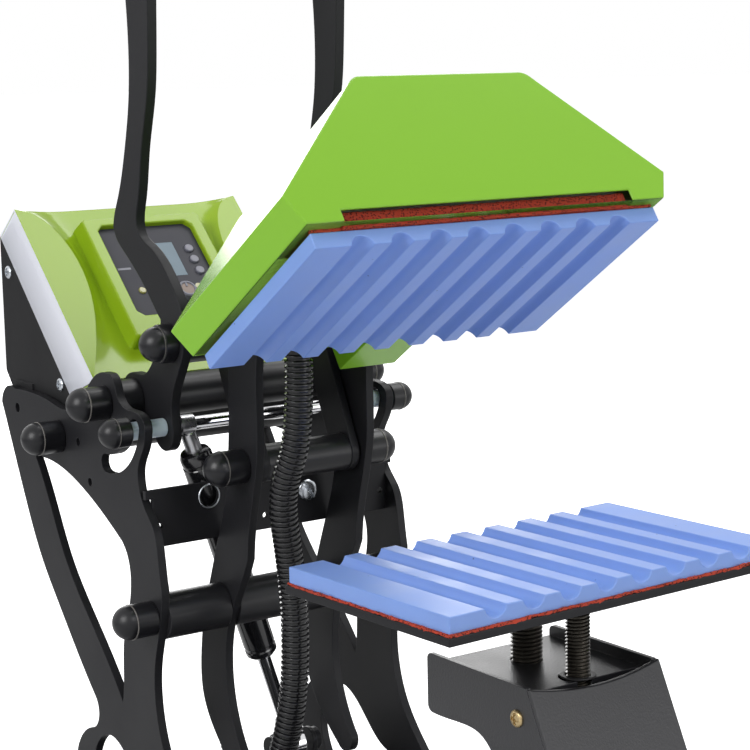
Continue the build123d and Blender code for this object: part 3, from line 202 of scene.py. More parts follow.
def turned(bm, profile, at=(0, 0, 0), axis=(1, 0, 0), steps=40):
    """Spins a profile of (distance along the axis, radius) into a lathe-turned part."""
    along = Vector(axis).normalized()
    out = along.orthogonal().normalized()
    centre = Vector(at)
    verts = [bm.verts.new(centre + along * distance + out * radius) for distance, radius in profile]
    edges = [bm.edges.new(pair) for pair in zip(verts, verts[1:])]
    bmesh.ops.spin(bm, geom=verts + edges, cent=centre, axis=along, angle=tau, steps=steps, use_merge=True)
    bmesh.ops.remove_doubles(bm, verts=bm.verts, dist=0.000002)
    bmesh.ops.recalc_face_normals(bm, faces=bm.faces)


def join_part(bm, part):
    """Adds a part's faces to a bmesh and frees the part."""
    mesh = bpy.data.meshes.new("part")
    part.to_mesh(mesh)
    part.free()
    bm.from_mesh(mesh)
    bpy.data.meshes.remove(mesh)


def block(bm, centre, size, place=Matrix()):
    """A box about a centre."""
    bmesh.ops.create_cube(bm, size=1.0, matrix=place @ Matrix.Translation(centre) @ Matrix.Diagonal((*size, 1)))


def dress(material, *nodes):
    """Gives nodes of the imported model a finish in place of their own."""
    for node in nodes:
        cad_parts[node].data.materials.clear()
        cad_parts[node].data.materials.append(material)


hose_route = [(-27.5, -4.45, 333.98), (-27.5, -4.45, 288.0), (-35.5, 6.0, 256.0), (-27.0, 10.0, 213.0),
              (-25.5, 9.0, 170.0), (-29.5, 9.0, 128.0), (-36.0, 22.0, 82.0), (-32.0, 52.0, 40.0),
              (-22.0, 92.0, 28.2), (2.0, 136.0, 28.2), (34.0, 172.0, 30.0), (44.0, 204.0, 46.0),
              (41.0, 217.0, 92.0), (53.0, 218.0, 150.0), (66.0, 213.0, 215.0), (68.0, 212.0, 284.0)]
hose_crest = 7.9 * MM
hose_shoulder = hose_crest - 0.2 * MM
hose_valley = 6.5 * MM
hose_pitch = 3.08 * MM


def smooth_route(points):
    """Points read along a NURBS line that has the route's points as its control points."""
    curve = bpy.data.curves.new("hose_line", "CURVE")
    curve.dimensions = "3D"
    curve.resolution_u = 24
    spline = curve.splines.new("NURBS")
    spline.points.add(len(points) - 1)
    for control, place in zip(spline.points, points):
        control.co = (*(Vector(place) * MM), 1)
    spline.order_u = 3
    spline.use_endpoint_u = True
    holder = bpy.data.objects.new("hose_line", curve)
    line = bpy.data.meshes.new_from_object(holder)
    read = [v.co.copy() for v in line.vertices]
    bpy.data.objects.remove(holder)
    bpy.data.curves.remove(curve)
    bpy.data.meshes.remove(line)
    return read


def lay_along(bm, line):
    """Bends a part made along +Z so that its axis follows a line of points."""
    lengths = [0.0]
    for near, far in zip(line, line[1:]):
        lengths.append(lengths[-1] + (far - near).length)
    ways = [(far - near).normalized() for near, far in zip(line, line[1:])]
    ways.append(ways[-1])
    sides = [ways[0].orthogonal().normalized()]
    for way in ways[1:]:
        sides.append((sides[-1] - way * sides[-1].dot(way)).normalized())
    for v in bm.verts:
        step = min(max(bisect(lengths, v.co.z) - 1, 0), len(line) - 2)
        share = (v.co.z - lengths[step]) / (lengths[step + 1] - lengths[step])
        way = ways[step].lerp(ways[step + 1], share).normalized()
        side = sides[step].lerp(sides[step + 1], share)
        side = (side - way * side.dot(way)).normalized()
        v.co = line[step].lerp(line[step + 1], share) + side * v.co.x + way.cross(side) * v.co.y


hose_line = smooth_route(hose_route)
hose_length = sum((far - near).length for near, far in zip(hose_line, hose_line[1:]))
hose_profile = [(0.0, 0.0)]
for ring in range(int(hose_length / hose_pitch)):
    start = ring * hose_pitch
    for share, radius in ((0.0, hose_valley), (0.34, hose_valley), (0.42, hose_shoulder), (0.52, hose_crest),
                          (0.82, hose_crest), (0.92, hose_shoulder)):
        hose_profile.append((start + share * hose_pitch, radius))
hose_profile += [(hose_length, hose_valley), (hose_length, 0.0)]
bm = bmesh.new()
turned(bm, hose_profile, axis=(0, 0, 1), steps=20)
lay_along(bm, hose_line)
hose_plastic = coated("hose_plastic", (0.008, 0.008, 0.009), (0.03, 0.03, 0.033), 0.22, grain=0.0012,
                      depth=0.00002, edge=0.0003)
hose = piece("corrugated_hose", bm, hose_plastic, None, ("wire_conduit",), smooth=50)
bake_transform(hose)


# ---- Studio ------------------------------------------------------------------------
# A pale table top under the press, a white room behind it, one large soft lamp from the
# left, weaker ones over the operator's shoulder, overhead, low in front and low behind.
floor_bm = bmesh.new()
bmesh.ops.create_grid(floor_bm, x_segments=1, y_segments=1, size=40.0)
floor_mesh = bpy.data.meshes.new("table_top")
floor_bm.to_mesh(floor_mesh)
floor_bm.free()
table_top = bpy.data.objects.new("table_top", floor_mesh)
bpy.context.scene.collection.objects.link(table_top)
floor_paint = bpy.data.materials.new("floor_paint")
floor_paint.use_nodes = True
floor_shader = floor_paint.node_tree.nodes["Principled BSDF"]
floor_shader.inputs["Base Color"].default_value = (0.90, 0.90, 0.90, 1)
floor_shader.inputs["Roughness"].default_value = 0.9
floor_shader.inputs["Emission Color"].default_value = (1, 1, 1, 1)
floor_ray = floor_paint.node_tree.nodes.new("ShaderNodeLightPath")
floor_glow = floor_paint.node_tree.nodes.new("ShaderNodeMath")
floor_glow.operation = "MULTIPLY"
floor_glow.inputs[1].default_value = 0.83
floor_paint.node_tree.links.new(floor_ray.outputs["Is Camera Ray"], floor_glow.inputs[0])
floor_paint.node_tree.links.new(floor_glow.outputs["Value"], floor_shader.inputs["Emission Strength"])
floor_mesh.materials.append(floor_paint)

world = bpy.data.worlds.new("white_room")
bpy.context.scene.world = world
world.use_nodes = True
room_nodes, room_link = world.node_tree.nodes, world.node_tree.links.new
room_light = room_nodes["Background"]
room_light.inputs["Color"].default_value = (0.95, 0.97, 1.0, 1)
room_light.inputs["Strength"].default_value = 0.20
room_seen = room_nodes.new("ShaderNodeBackground")
room_seen.inputs["Color"].default_value = (1, 1, 1, 1)
room_seen.inputs["Strength"].default_value = 1.0
ray = room_nodes.new("ShaderNodeLightPath")
seen = room_nodes.new("ShaderNodeMath")
seen.operation = "MAXIMUM"
room_mix = room_nodes.new("ShaderNodeMixShader")
room_link(ray.outputs["Is Camera Ray"], seen.inputs[0])
room_link(ray.outputs["Is Glossy Ray"], seen.inputs[1])
room_link(seen.outputs["Value"], room_mix.inputs["Fac"])
room_link(room_light.outputs["Background"], room_mix.inputs[1])
room_link(room_seen.outputs["Background"], room_mix.inputs[2])
room_link(room_mix.outputs["Shader"], room_nodes["World Output"].inputs["Surface"])


def soft_lamp(name, place, target, size, power):
    """A square lamp box that faces a point."""
    light = bpy.data.lights.new(name, "AREA")
    light.size = size
    light.energy = power
    lamp = bpy.data.objects.new(name, light)
    lamp.location = place
    lamp.rotation_euler = (Vector(target) - Vector(place)).to_track_quat("-Z", "Y").to_euler()
    bpy.context.scene.collection.objects.link(lamp)
    lamp.visible_camera = False


soft_lamp("left_lamp", (-1.8, -0.4, 1.3), (0, 0, 0.3), 1.1, 26)
soft_lamp("shoulder_lamp", (0.2, -1.9, 1.6), (0, 0, 0.3), 1.0, 11)
soft_lamp("top_lamp", (0.7, 0.1, 1.7), (0, 0.1, 0.3), 1.0, 13)
soft_lamp("low_lamp", (0.9, -1.9, 0.35), (0, 0, 0.35), 1.0, 8)
soft_lamp("rear_lamp", (0.95, 2.0, 0.75), (0, 0, 0.35), 1.3, 16)


# ---- Side plates -------------------------------------------------------------------
# Two laser-cut steel plates, 5 mm thick, powder coated satin black. Each is a column
# with a horn, two legs, a foot rail and the arc slot that guides the handle.
def round_edges(bm, width, segments=2, sharper_than=35):
    """Rounds every edge that turns more than an angle."""
    edges = [e for e in bm.edges if len(e.link_faces) == 2 and e.calc_face_angle(0) > radians(sharper_than)]
    bmesh.ops.bevel(bm, geom=edges, offset=width, offset_type="OFFSET", segments=segments, profile=0.5,
                    affect="EDGES", clamp_overlap=True, material=-1)


def cut_metal(node, width, segments=2):
    """A welded copy of a node's shape whose sharp edges are rounded over."""
    bm = bmesh.new()
    bm.from_mesh(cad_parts[node].data)
    bmesh.ops.remove_doubles(bm, verts=bm.verts, dist=0.00001)
    bmesh.ops.dissolve_limit(bm, angle_limit=radians(0.5), verts=bm.verts, edges=bm.edges)
    round_edges(bm, width, segments)
    return bm


powder_black = coated("powder_black", (0.014, 0.014, 0.016), (0.045, 0.045, 0.05), 0.42, grain=0.0007,
                      depth=0.00004, cloud=0.06, edge=0.0006, specular=0.16)
for side in ("left", "right"):
    piece(f"{side}_frame_plate", cut_metal(f"{side}_side_plate", 0.5 * MM), powder_black, "frame",
          (f"{side}_side_plate",))

# ---- Press levers, handle arms, toggle and cross plate --------------------------------
# The same laser-cut, powder-coated plate as the sides, 5 and 6 mm thick.
for node, body in (("left_press_lever", "press_head"), ("right_press_lever", "press_head"),
                   ("left_handle_arm", "handle"), ("right_handle_arm", "handle"), ("toggle_links", "toggle"),
                   ("cross_plate", "frame"), ("head_bracket", "press_head")):
    piece(f"{node}_coated", cut_metal(node, 0.5 * MM), powder_black, body, (node,))

# ---- Shafts, spacer tubes and hubs ----------------------------------------------------
# Drawn steel tube, painted gloss black, on bright ground shafts that only show in gaps.
gloss_black = coated("gloss_black", (0.014, 0.014, 0.016), (0.04, 0.04, 0.045), 0.36, grain=0.002,
                     depth=0.00001, cloud=0.05, edge=0.0005, specular=0.3)
for node, body in (("spacer_tubes", "frame"), ("rear_tie_tube", "frame"), ("handle_hub", "handle"),
                   ("link_shaft", "handle"), ("toggle_tube", "toggle")):
    piece(f"{node}_painted", cut_metal(node, 0.4 * MM), gloss_black, body, (node,))
ground_steel = coated("ground_steel", (0.56, 0.56, 0.58), (0.7, 0.7, 0.72), 0.28, grain=0.0004, depth=0.000005,
                      metallic=1.0, edge=0.0003)
dress(ground_steel, "pivot_shafts", "neck_screws")

# ---- Domed nuts ----------------------------------------------------------------------
# Black caps pressed over the shaft ends: a plain sleeve, a thin parting line painted pale as a
# painted highlight on its lip, and a half ball. Those of the handle swing with it, and the levers' pair moves
# with the head.
cap_plastic = coated("cap_plastic", (0.008, 0.008, 0.010), (0.02, 0.02, 0.023), 0.32, grain=0.0016,
                     depth=0.000015, edge=0.0003, specular=0.35)
# Pale grey for the caps' lip: a painted highlight on the seam.
cap_seam_highlight = coated("cap_seam_highlight", (0.16, 0.15, 0.14), (0.24, 0.22, 0.2), 0.35, grain=0.0006, edge=0.0002)


def domed_nut(bm, pivot, foot, sleeve, radius):
    """One cap on an X shaft, from its foot outwards; foot and sleeve are signed."""
    side = 1 if sleeve > 0 else -1
    rim = foot + sleeve
    profile = [(foot, 0), (foot, radius - 0.9), (foot + side * 0.6, radius - 0.3),
               (rim - side * 0.7, radius - 0.2), (rim - side * 0.45, radius + 0.1), (rim, radius + 0.1),
               (rim + side * 0.1, radius - 0.25)]
    for step in range(1, 10):
        angle = radians(10 * step)
        profile.append((rim + side * radius * sin(angle), (radius - 0.1) * cos(angle)))
    profile[-1] = (rim + side * radius, 0)
    part = bmesh.new()
    turned(part, in_mm(profile), at=(0, pivot[0] * MM, pivot[1] * MM), steps=36)
    # The lip at the sleeve's rim takes the pale finish, a painted highlight.
    for face in part.faces:
        reach = side * (face.calc_center_median().x / MM - rim)
        face.material_index = 1 if -0.6 < reach < 0.05 else 0
    join_part(bm, part)


lever_pivot, handle_pivot, rear_tie = (66.8, 181.4), (113, 298), (175.2, 269.9)
link_pivot, guide_rod_at, lever_pin = (68.8, 334.8), (79.69, 286.01), (38.7, 266.5)
link_collar = ((65, 0), (65, 10.5), (65.5, 10.9), (72.5, 10.9), (73, 10.5), (73, 0))
cap_sets = {
    "frame_caps": ("frame", "frame_dome_caps", [(lever_pivot, 84, 14, 10), (handle_pivot, 84, 14, 10),
                                                (rear_tie, 84, 14, 10)]),
    "handle_caps": ("handle", "handle_dome_caps", [(link_pivot, 71, 2.5, 10), (guide_rod_at, 88.2, 8.5, 8.6)]),
    "lever_caps": ("press_head", "lever_dome_caps", [(lever_pin, 39, 14, 10)]),
}
for name, (body, node, places) in cap_sets.items():
    bm = bmesh.new()
    for pivot, foot, sleeve, radius in places:
        for side in (-1, 1):
            domed_nut(bm, pivot, side * foot, side * sleeve, radius)
            if pivot == link_pivot:
                turned(bm, in_mm(link_collar, side), at=(0, pivot[0] * MM, pivot[1] * MM), steps=36)
    made = piece(name, bm, cap_plastic, body, (node,), smooth=40)
    made.data.materials.append(cap_seam_highlight)
dress(cap_plastic, "handle_bar")

# ---- Guide rod and its sleeves ---------------------------------------------------------
# A bright rod across both arms; white nylon sleeves on its ends slide in the arc slots.
bright_chrome = coated("bright_chrome", (0.72, 0.72, 0.74), (0.8, 0.8, 0.82), 0.10, grain=0.003, depth=0.000004,
                       metallic=1.0, rough_spread=0.06, edge=0.0003)
dress(bright_chrome, "guide_rod")
nylon = coated("nylon", (0.62, 0.73, 0.80), (0.70, 0.80, 0.86), 0.30, grain=0.0012, depth=0.000015, edge=0.0004)
nylon.node_tree.nodes["Principled BSDF"].inputs["Subsurface Weight"].default_value = 0.35
nylon.node_tree.nodes["Principled BSDF"].inputs["Subsurface Radius"].default_value = (0.004, 0.005, 0.006)
bm = bmesh.new()
for side in (-1, 1):
    turned(bm, in_mm(((65.1, 4.05), (65.1, 4.9), (65.5, 5.2), (87.8, 5.2), (88.2, 4.9), (88.2, 4.05),
                      (65.1, 4.05)), side), at=(0, guide_rod_at[0] * MM, guide_rod_at[1] * MM), steps=36)
piece("nylon_sleeves", bm, nylon, "handle", ("guide_sleeves",), smooth=40)

# ---- Heated head's pad ------------------------------------------------------------------
# Blue silicone moulding, 210 by 120 mm, with eight round grooves that hold pens. Its
# cut edges are softened and its skin carries faint mould clouds and dark specks.
def silicone_blue(name, colour):
    """Matt silicone with a slow mottling, small pits and dark specks."""
    material = coated(name, colour, tuple(min(1, 1.18 * c) for c in colour), 0.42, grain=0.0012, depth=0.00003,
                      cloud=0.03, edge=0.0006, colour_spread=0.16, rough_spread=0.15)
    nodes, link = material.node_tree.nodes, material.node_tree.links.new
    shader = nodes["Principled BSDF"]
    shader.inputs["Subsurface Weight"].default_value = 0.12
    shader.inputs["Subsurface Radius"].default_value = (0.001, 0.002, 0.004)
    place = nodes.new("ShaderNodeTexCoord")
    cells = nodes.new("ShaderNodeTexVoronoi")
    cells.inputs["Scale"].default_value = 75.0
    speck = nodes.new("ShaderNodeMapRange")
    speck.inputs["From Min"].default_value = 0.045
    speck.inputs["From Max"].default_value = 0.02
    speck.inputs["To Max"].default_value = 0.7
    dirt = nodes.new("ShaderNodeMix")
    dirt.data_type = "RGBA"
    dirt.inputs["B"].default_value = (0.03, 0.04, 0.10, 1)
    colour_now = shader.inputs["Base Color"].links[0].from_socket
    link(place.outputs["Object"], cells.inputs["Vector"])
    link(cells.outputs["Distance"], speck.inputs["Value"])
    link(speck.outputs["Result"], dirt.inputs["Factor"])
    link(colour_now, dirt.inputs["A"])
    link(dirt.outputs["Result"], shader.inputs["Base Color"])
    return material


pad_silicone = silicone_blue("pad_silicone", (0.20, 0.33, 0.72))
piece("head_pad_moulded", cut_metal("head_pad", 0.6 * MM, 3), pad_silicone, "press_head",
      ("head_pad",))

# ---- Heated head's sponge ---------------------------------------------------------------
# Red open-celled silicone sponge behind the pad. Its cut rim shows torn pores, and at the
# front it also covers the edge of the heating block.
head_tilt = radians(33.64)
head_origin = Vector((0, -43.0, 336.5)) * MM
head_axes = Matrix(((1, 0, 0), (0, -cos(head_tilt), sin(head_tilt)),
                    (0, sin(head_tilt), cos(head_tilt)))).transposed()


def foam_material(name, colour, pore_shade):
    """Open-celled sponge: deep round pores of two sizes, with painted shade inside them."""
    material = coated(name, colour, colour, 0.85, grain=0.0006, depth=0.0001, cloud=0.01, colour_spread=0.3)
    nodes, link = material.node_tree.nodes, material.node_tree.links.new
    shader = nodes["Principled BSDF"]
    place = nodes.new("ShaderNodeTexCoord")
    cells = nodes.new("ShaderNodeTexVoronoi")
    cells.inputs["Scale"].default_value = 900.0
    pore = nodes.new("ShaderNodeMapRange")
    pore.inputs["From Min"].default_value = 0.42
    pore.inputs["From Max"].default_value = 0.18
    # The pores' insides are mixed towards a near-black red: painted shade in the pores.
    pore_shade_mix = nodes.new("ShaderNodeMix")
    pore_shade_mix.data_type = "RGBA"
    pore_shade_mix.inputs["B"].default_value = (*pore_shade, 1)
    pits = nodes.new("ShaderNodeBump")
    pits.inputs["Strength"].default_value = 1.0
    pits.inputs["Distance"].default_value = 0.0006
    pits.invert = True
    before = shader.inputs["Base Color"].links[0].from_socket
    normal = shader.inputs["Normal"].links[0].from_socket
    link(place.outputs["Object"], cells.inputs["Vector"])
    link(cells.outputs["Distance"], pore.inputs["Value"])
    link(pore.outputs["Result"], pore_shade_mix.inputs["Factor"])
    link(before, pore_shade_mix.inputs["A"])
    link(pore_shade_mix.outputs["Result"], shader.inputs["Base Color"])
    link(pore.outputs["Result"], pits.inputs["Height"])
    link(normal, pits.inputs["Normal"])
    link(pits.outputs["Normal"], shader.inputs["Normal"])
    return material


def torn_slab(bm, low, high, step, rough):
    """A slab whose faces are divided and pushed about by noise, as torn foam is."""
    size = [b - a for a, b in zip(low, high)]
    made = bmesh.ops.create_cube(bm, size=1.0)
    verts = made["verts"]
    for v in verts:
        v.co = Vector([a + (c + 0.5) * s for a, c, s in zip(low, v.co, size)])
    for axis in range(3):
        cuts = int(size[axis] / step) - 1
        if cuts > 0:
            along = [e for v in verts for e in v.link_edges
                     if abs((e.verts[0].co - e.verts[1].co)[axis]) > size[axis] * 0.9]
            bmesh.ops.subdivide_edges(bm, edges=list(set(along)), cuts=cuts, use_grid_fill=True)
            verts = [v for v in bm.verts if all(a - 1e-6 <= c <= b + 1e-6 for a, c, b in zip(low, v.co, high))]
    for v in verts:
        shift = noise.noise_vector(v.co * 700) * rough + noise.noise_vector(v.co * 160) * rough
        v.co += shift


# The second colour is the painted shade inside the pores.
sponge_red = foam_material("sponge_red_cells", (0.46, 0.045, 0.018), (0.06, 0.004, 0.002))
bm = bmesh.new()
block(bm, (0, 60 * MM, 10.7 * MM), (0.202, 0.118, 0.0049))
for low, high in (((-104.0, 117.8, 8.5), (104.0, 119.6, 13.0)), ((-87.0, 119.4, 8.5), (87.0, 121.2, 16.8))):
    torn_slab(bm, Vector(low) * MM, Vector(high) * MM, 1.0 * MM, 0.3 * MM)
bmesh.ops.transform(bm, matrix=Matrix.Translation(head_origin) @ head_axes.to_4x4(), verts=bm.verts)
bmesh.ops.recalc_face_normals(bm, faces=bm.faces)
piece("head_sponge_torn", bm, sponge_red, "press_head", ("head_sponge",), smooth=60)

# ---- Head cover ---------------------------------------------------------------------------
# Folded 1.5 mm sheet, a roofed box with a hood behind for the levers, sprayed in gloss
# green over a faint orange peel.
head_green = coated("head_green_gloss", (0.225, 0.50, 0.022), (0.30, 0.58, 0.08), 0.22, grain=0.004,
                    depth=0.00002, cloud=0.12, edge=0.0008, colour_spread=0.05, rough_spread=0.06, coat=0.1,
                    coat_rough=0.06, specular=0.3)
piece("head_cover_painted", cut_metal("head_cover", 0.7 * MM, 3), head_green, "press_head",
      ("head_cover",), smooth=30)

# ---- Inside the head -----------------------------------------------------------------------
# A cast aluminium heating block under a fibre board, mostly out of sight.
cast_aluminium = coated("cast_aluminium", (0.55, 0.55, 0.56), (0.7, 0.7, 0.7), 0.45, grain=0.001, depth=0.00005,
                        metallic=1.0)
fibre_board = coated("fibre_board", (0.45, 0.40, 0.30), (0.5, 0.45, 0.35), 0.9, grain=0.0008, depth=0.0001)
dress(cast_aluminium, "heating_block")
dress(fibre_board, "insulation_board")
dress(hose_plastic, "conduit_gland")

# ---- Lower pad, its sponge and plate ---------------------------------------------------------
# The same silicone pad faces up on a 4 mm steel plate. Red sponge, squeezed thin between
# them, creeps out unevenly round the edge. Plate and pad sit 2.7 degrees askew.
piece("lower_pad_moulded", cut_metal("lower_pad", 0.6 * MM, 3), pad_silicone, "platen",
      ("lower_pad",))
platen_turn = Matrix.Rotation(radians(2.71), 4, "Z")
platen_place = Matrix.Translation(Vector((2.1, -168.1, 0)) * MM) @ platen_turn
bm = bmesh.new()
block(bm, (0, 0, 240.8 * MM), (0.2096, 0.1196, 0.0008))
for low, high in (((-105.2, -61.0, 240.3), (105.2, -59.4, 241.6)),
                  ((-105.2, 59.4, 240.3), (105.2, 60.6, 241.4)),
                  ((-105.9, -60.5, 240.3), (-104.4, 60.4, 241.5)),
                  ((104.4, -60.5, 240.3), (105.9, 60.4, 241.5))):
    torn_slab(bm, Vector(low) * MM, Vector(high) * MM, 0.9 * MM, 0.55 * MM)
bmesh.ops.transform(bm, matrix=platen_place, verts=bm.verts)
bmesh.ops.recalc_face_normals(bm, faces=bm.faces)
piece("lower_sponge_squeezed", bm, sponge_red, "platen", ("lower_sponge",), smooth=60)
piece("lower_plate_coated", cut_metal("lower_plate", 0.5 * MM), powder_black, "platen",
      ("lower_plate",))

# ---- Pedestal --------------------------------------------------------------------------------
# Two cheeks bent from 2.5 mm sheet round a shelf, with a front cover whose top edge dips.
# The coat is glossier than the plates' and has a fine leather texture.
textured_black = coated("textured_black", (0.020, 0.020, 0.023), (0.10, 0.10, 0.11), 0.34, grain=0.0011,
                        depth=0.00012, cloud=0.05, edge=0.0006, rough_spread=0.1)
for node in ("press_pedestal", "pedestal_cover"):
    piece(f"{node}_coated", cut_metal(node, 0.6 * MM), textured_black, "frame", (node,))

# ---- Pressure screw and guide screw -------------------------------------------------------------
# Rolled threads, M16 by 2 and M12 by 1.75, black oxide with a film of oil. The thick one
# turns in the shelf and lifts the plate; the thin one keeps the plate from turning.
oiled_thread = coated("oiled_thread", (0.055, 0.050, 0.042), (0.16, 0.14, 0.11), 0.30, grain=0.0006,
                      depth=0.00002, metallic=0.75, edge=0.0003)


def threaded_rod(bm, at, low, high, major, pitch):
    """A rod with a real helical thread: one zigzag spun round while it rises by a pitch."""
    minor = major - 0.61 * pitch
    verts = []
    turns = int((high - low) / pitch) + 2
    for turn in range(turns):
        base = low + (turn - 1) * pitch
        for share, radius in ((0.0, minor), (0.12, minor), (0.45, major), (0.57, major), (0.9, minor)):
            verts.append(bm.verts.new(((at[0] + radius) * MM, at[1] * MM, (base + share * pitch) * MM)))
    edges = [bm.edges.new(pair) for pair in zip(verts, verts[1:])]
    steps = 36
    bmesh.ops.spin(bm, geom=verts + edges, cent=(at[0] * MM, at[1] * MM, 0), axis=(0, 0, 1), angle=tau,
                   dvec=(0, 0, pitch * MM / steps), steps=steps, use_merge=False)
    bmesh.ops.remove_doubles(bm, verts=bm.verts, dist=0.00002)
    for height, clear_outer in ((low, False), (high, True)):
        side = 1 if clear_outer else -1
        everything = bm.verts[:] + bm.edges[:] + bm.faces[:]
        cut = bmesh.ops.bisect_plane(bm, geom=everything, plane_co=(0, 0, height * MM), plane_no=(0, 0, side),
                                     clear_outer=True)
        rim = [g for g in cut["geom_cut"] if isinstance(g, bmesh.types.BMEdge)]
        bmesh.ops.holes_fill(bm, edges=rim, sides=0)
    bmesh.ops.recalc_face_normals(bm, faces=bm.faces)


pressure_at = (1.6934, -159.5096)
guide_at = (3.4239, -196.0687)
bm = bmesh.new()
threaded_rod(bm, pressure_at, 120.0, 235.9, 8.0, 2.0)
piece("pressure_thread", bm, oiled_thread, "pressure_screw", ("pressure_screw",), smooth=25)
bm = bmesh.new()
threaded_rod(bm, guide_at, 168.5, 236.2, 6.0, 1.75)
piece("guide_thread", bm, oiled_thread, "platen", ("guide_screw",), smooth=25)

# ---- Pressure knob --------------------------------------------------------------------------
# A lobed black knob moulded on the lower end of the pressure screw, and the plain black
# bush in the shelf that the guide screw slides through.
knob_plastic = coated("knob_plastic", (0.018, 0.018, 0.02), (0.05, 0.05, 0.05), 0.42, grain=0.0006,
                      depth=0.00005, edge=0.0008)
piece("pressure_knob_lobed", cut_metal("pressure_knob", 1.2 * MM, 3), knob_plastic, "pressure_screw",
      ("pressure_knob",))
piece("guide_bush_turned", cut_metal("guide_bush", 0.3 * MM), knob_plastic, "frame",
      ("guide_bush",))

# ---- Small screws -----------------------------------------------------------------------------
# Cross-headed screws, zinc plated on the box and yellow on the pedestal, and one slotted
# bright screw through the cross plate. Socket-headed bolts hold the side plates.
zinc_bright = coated("zinc_bright", (0.55, 0.58, 0.62), (0.7, 0.72, 0.75), 0.24, grain=0.0008, depth=0.00001,
                     metallic=1.0, edge=0.0003)
zinc_yellow = coated("zinc_yellow", (0.50, 0.38, 0.20), (0.62, 0.52, 0.32), 0.30, grain=0.0008, depth=0.00001,
                     metallic=0.9, edge=0.0003)
screw_black = coated("screw_black", (0.03, 0.03, 0.03), (0.09, 0.09, 0.09), 0.4, grain=0.0008, depth=0.00002,
                     metallic=0.5, edge=0.0003)


def cross_head(bm, seat, out, radius, height, slotted=False):
    """A domed screw head on a seat, with a cross or a slot sunk into it."""
    cells = 13
    part = bmesh.new()
    bmesh.ops.create_grid(part, x_segments=cells, y_segments=cells, size=1.0)
    for v in part.verts:
        x, y = v.co.x, v.co.y
        v.co = Vector((x * (1 - y * y / 2) ** 0.5, y * (1 - x * x / 2) ** 0.5, 0))
        dome = (1 - v.co.xy.length_squared) ** 0.5 if v.co.xy.length < 0.999 else 0.0
        v.co.z = height * (0.35 + 0.65 * dome)
        v.co.x *= radius
        v.co.y *= radius
    arm, width = 0.62 * radius, 0.16 * radius
    turn_slot = Matrix.Rotation(radians(55 if slotted else 0), 3, "Z")
    sunk = []
    for face in part.faces:
        mid = turn_slot @ face.calc_center_median()
        one = abs(mid.y) < width and abs(mid.x) < (radius if slotted else arm)
        other = abs(mid.x) < width and abs(mid.y) < arm and not slotted
        if one or other:
            sunk.append(face)
    lowered = bmesh.ops.extrude_face_region(part, geom=sunk)
    moved = [g for g in lowered["geom"] if isinstance(g, bmesh.types.BMVert)]
    bmesh.ops.translate(part, verts=moved, vec=(0, 0, -0.55 * height))
    bmesh.ops.delete(part, geom=sunk, context="FACES")
    rim = [e for e in part.edges if e.is_boundary]
    skirt = bmesh.ops.extrude_edge_only(part, edges=rim)
    for v in skirt["geom"]:
        if isinstance(v, bmesh.types.BMVert):
            v.co.z = 0
    bmesh.ops.recalc_face_normals(part, faces=part.faces)
    turn = Vector(out).to_track_quat("Z", "Y").to_matrix().to_4x4()
    bmesh.ops.transform(part, matrix=Matrix.Translation(Vector(seat) * MM) @ turn @ Matrix.Scale(MM, 4),
                        verts=part.verts)
    join_part(bm, part)


bm = bmesh.new()
for side in (-1, 1):
    for y, z in ((248.0, 362.5), (182.0, 299.5)):
        cross_head(bm, (side * 78.0, y, z), (side, 0, 0), 4.0, 1.9)
cross_head(bm, (23.2, 70.2, 239.4), (0, -1, 0), 6.3, 3.0, slotted=True)
turned(bm, in_mm(((0, 6.3), (-0.3, 6.35), (-0.4, 6.8), (0, 7.2), (0, 6.3))),
       at=(-42.7 * MM, 70.2 * MM, 244.9 * MM), axis=(0, 1, 0), steps=36)
piece("box_screws", bm, zinc_bright, "frame", ("frame_screws",), smooth=40)
bm = bmesh.new()
for side in (-1, 1):
    for y, z in ((-203.8, 184.3), (-246.0, 60.0)):
        cross_head(bm, (side * 40.0, y, z), (side, 0, 0), 4.2, 2.0)
piece("pedestal_screws", bm, zinc_yellow, "frame", smooth=40)


def socket_bolt(bm, seat, side, radius, height):
    """A bolt head on an X face, with a hexagon socket spun into its middle."""
    face, floor = seat[0] + side * height, seat[0] + side * 0.4
    profile = ((seat[0], 0), (seat[0], radius), (seat[0] + side * (height - 0.5), radius), (face, radius - 0.5),
               (face, 0.52 * radius), (floor, 0.5 * radius), (floor, 0))
    turned(bm, in_mm(profile), at=(0, seat[1] * MM, seat[2] * MM), steps=36)


bm = bmesh.new()
for side in (-1, 1):
    for y in (-70, 20, 160):
        socket_bolt(bm, (side * 84.0, y, 16), side, 5.5, 3.0)
piece("plate_bolts", bm, screw_black, "frame", ("plate_screws",), smooth=40)

# ---- Gas spring ------------------------------------------------------------------------------
# Its stem hangs from the guide rod, a gloss black cylinder follows, and a chromed rod runs
# down to an eye between two ears on the base.
spring_top = Vector((-51.2, 79.6928, 286.0087))
spring_foot = Vector((30.2, 105.1, 74.0))
spring_way = (spring_foot - spring_top).normalized()
spring_black = coated("spring_black", (0.010, 0.010, 0.012), (0.04, 0.04, 0.045), 0.16, grain=0.004,
                      depth=0.000006, edge=0.0004, coat=0.6, coat_rough=0.05)
bm = bmesh.new()
turned(bm, in_mm(((17, 0), (17, 6.5), (18, 8.4), (20.5, 9.5), (24, 9.5), (24.6, 9.0), (26.2, 9.0), (26.8, 9.5),
                  (152, 9.5), (152.8, 8.9), (154.5, 8.9), (155.3, 9.5), (158, 9.4), (160, 7.6), (160, 4.3),
                  (120, 4.2), (120, 0))), at=spring_top * MM, axis=spring_way, steps=40)
piece("spring_tube", bm, spring_black, "gas_cylinder", ("spring_cylinder",), smooth=30)
bm = bmesh.new()
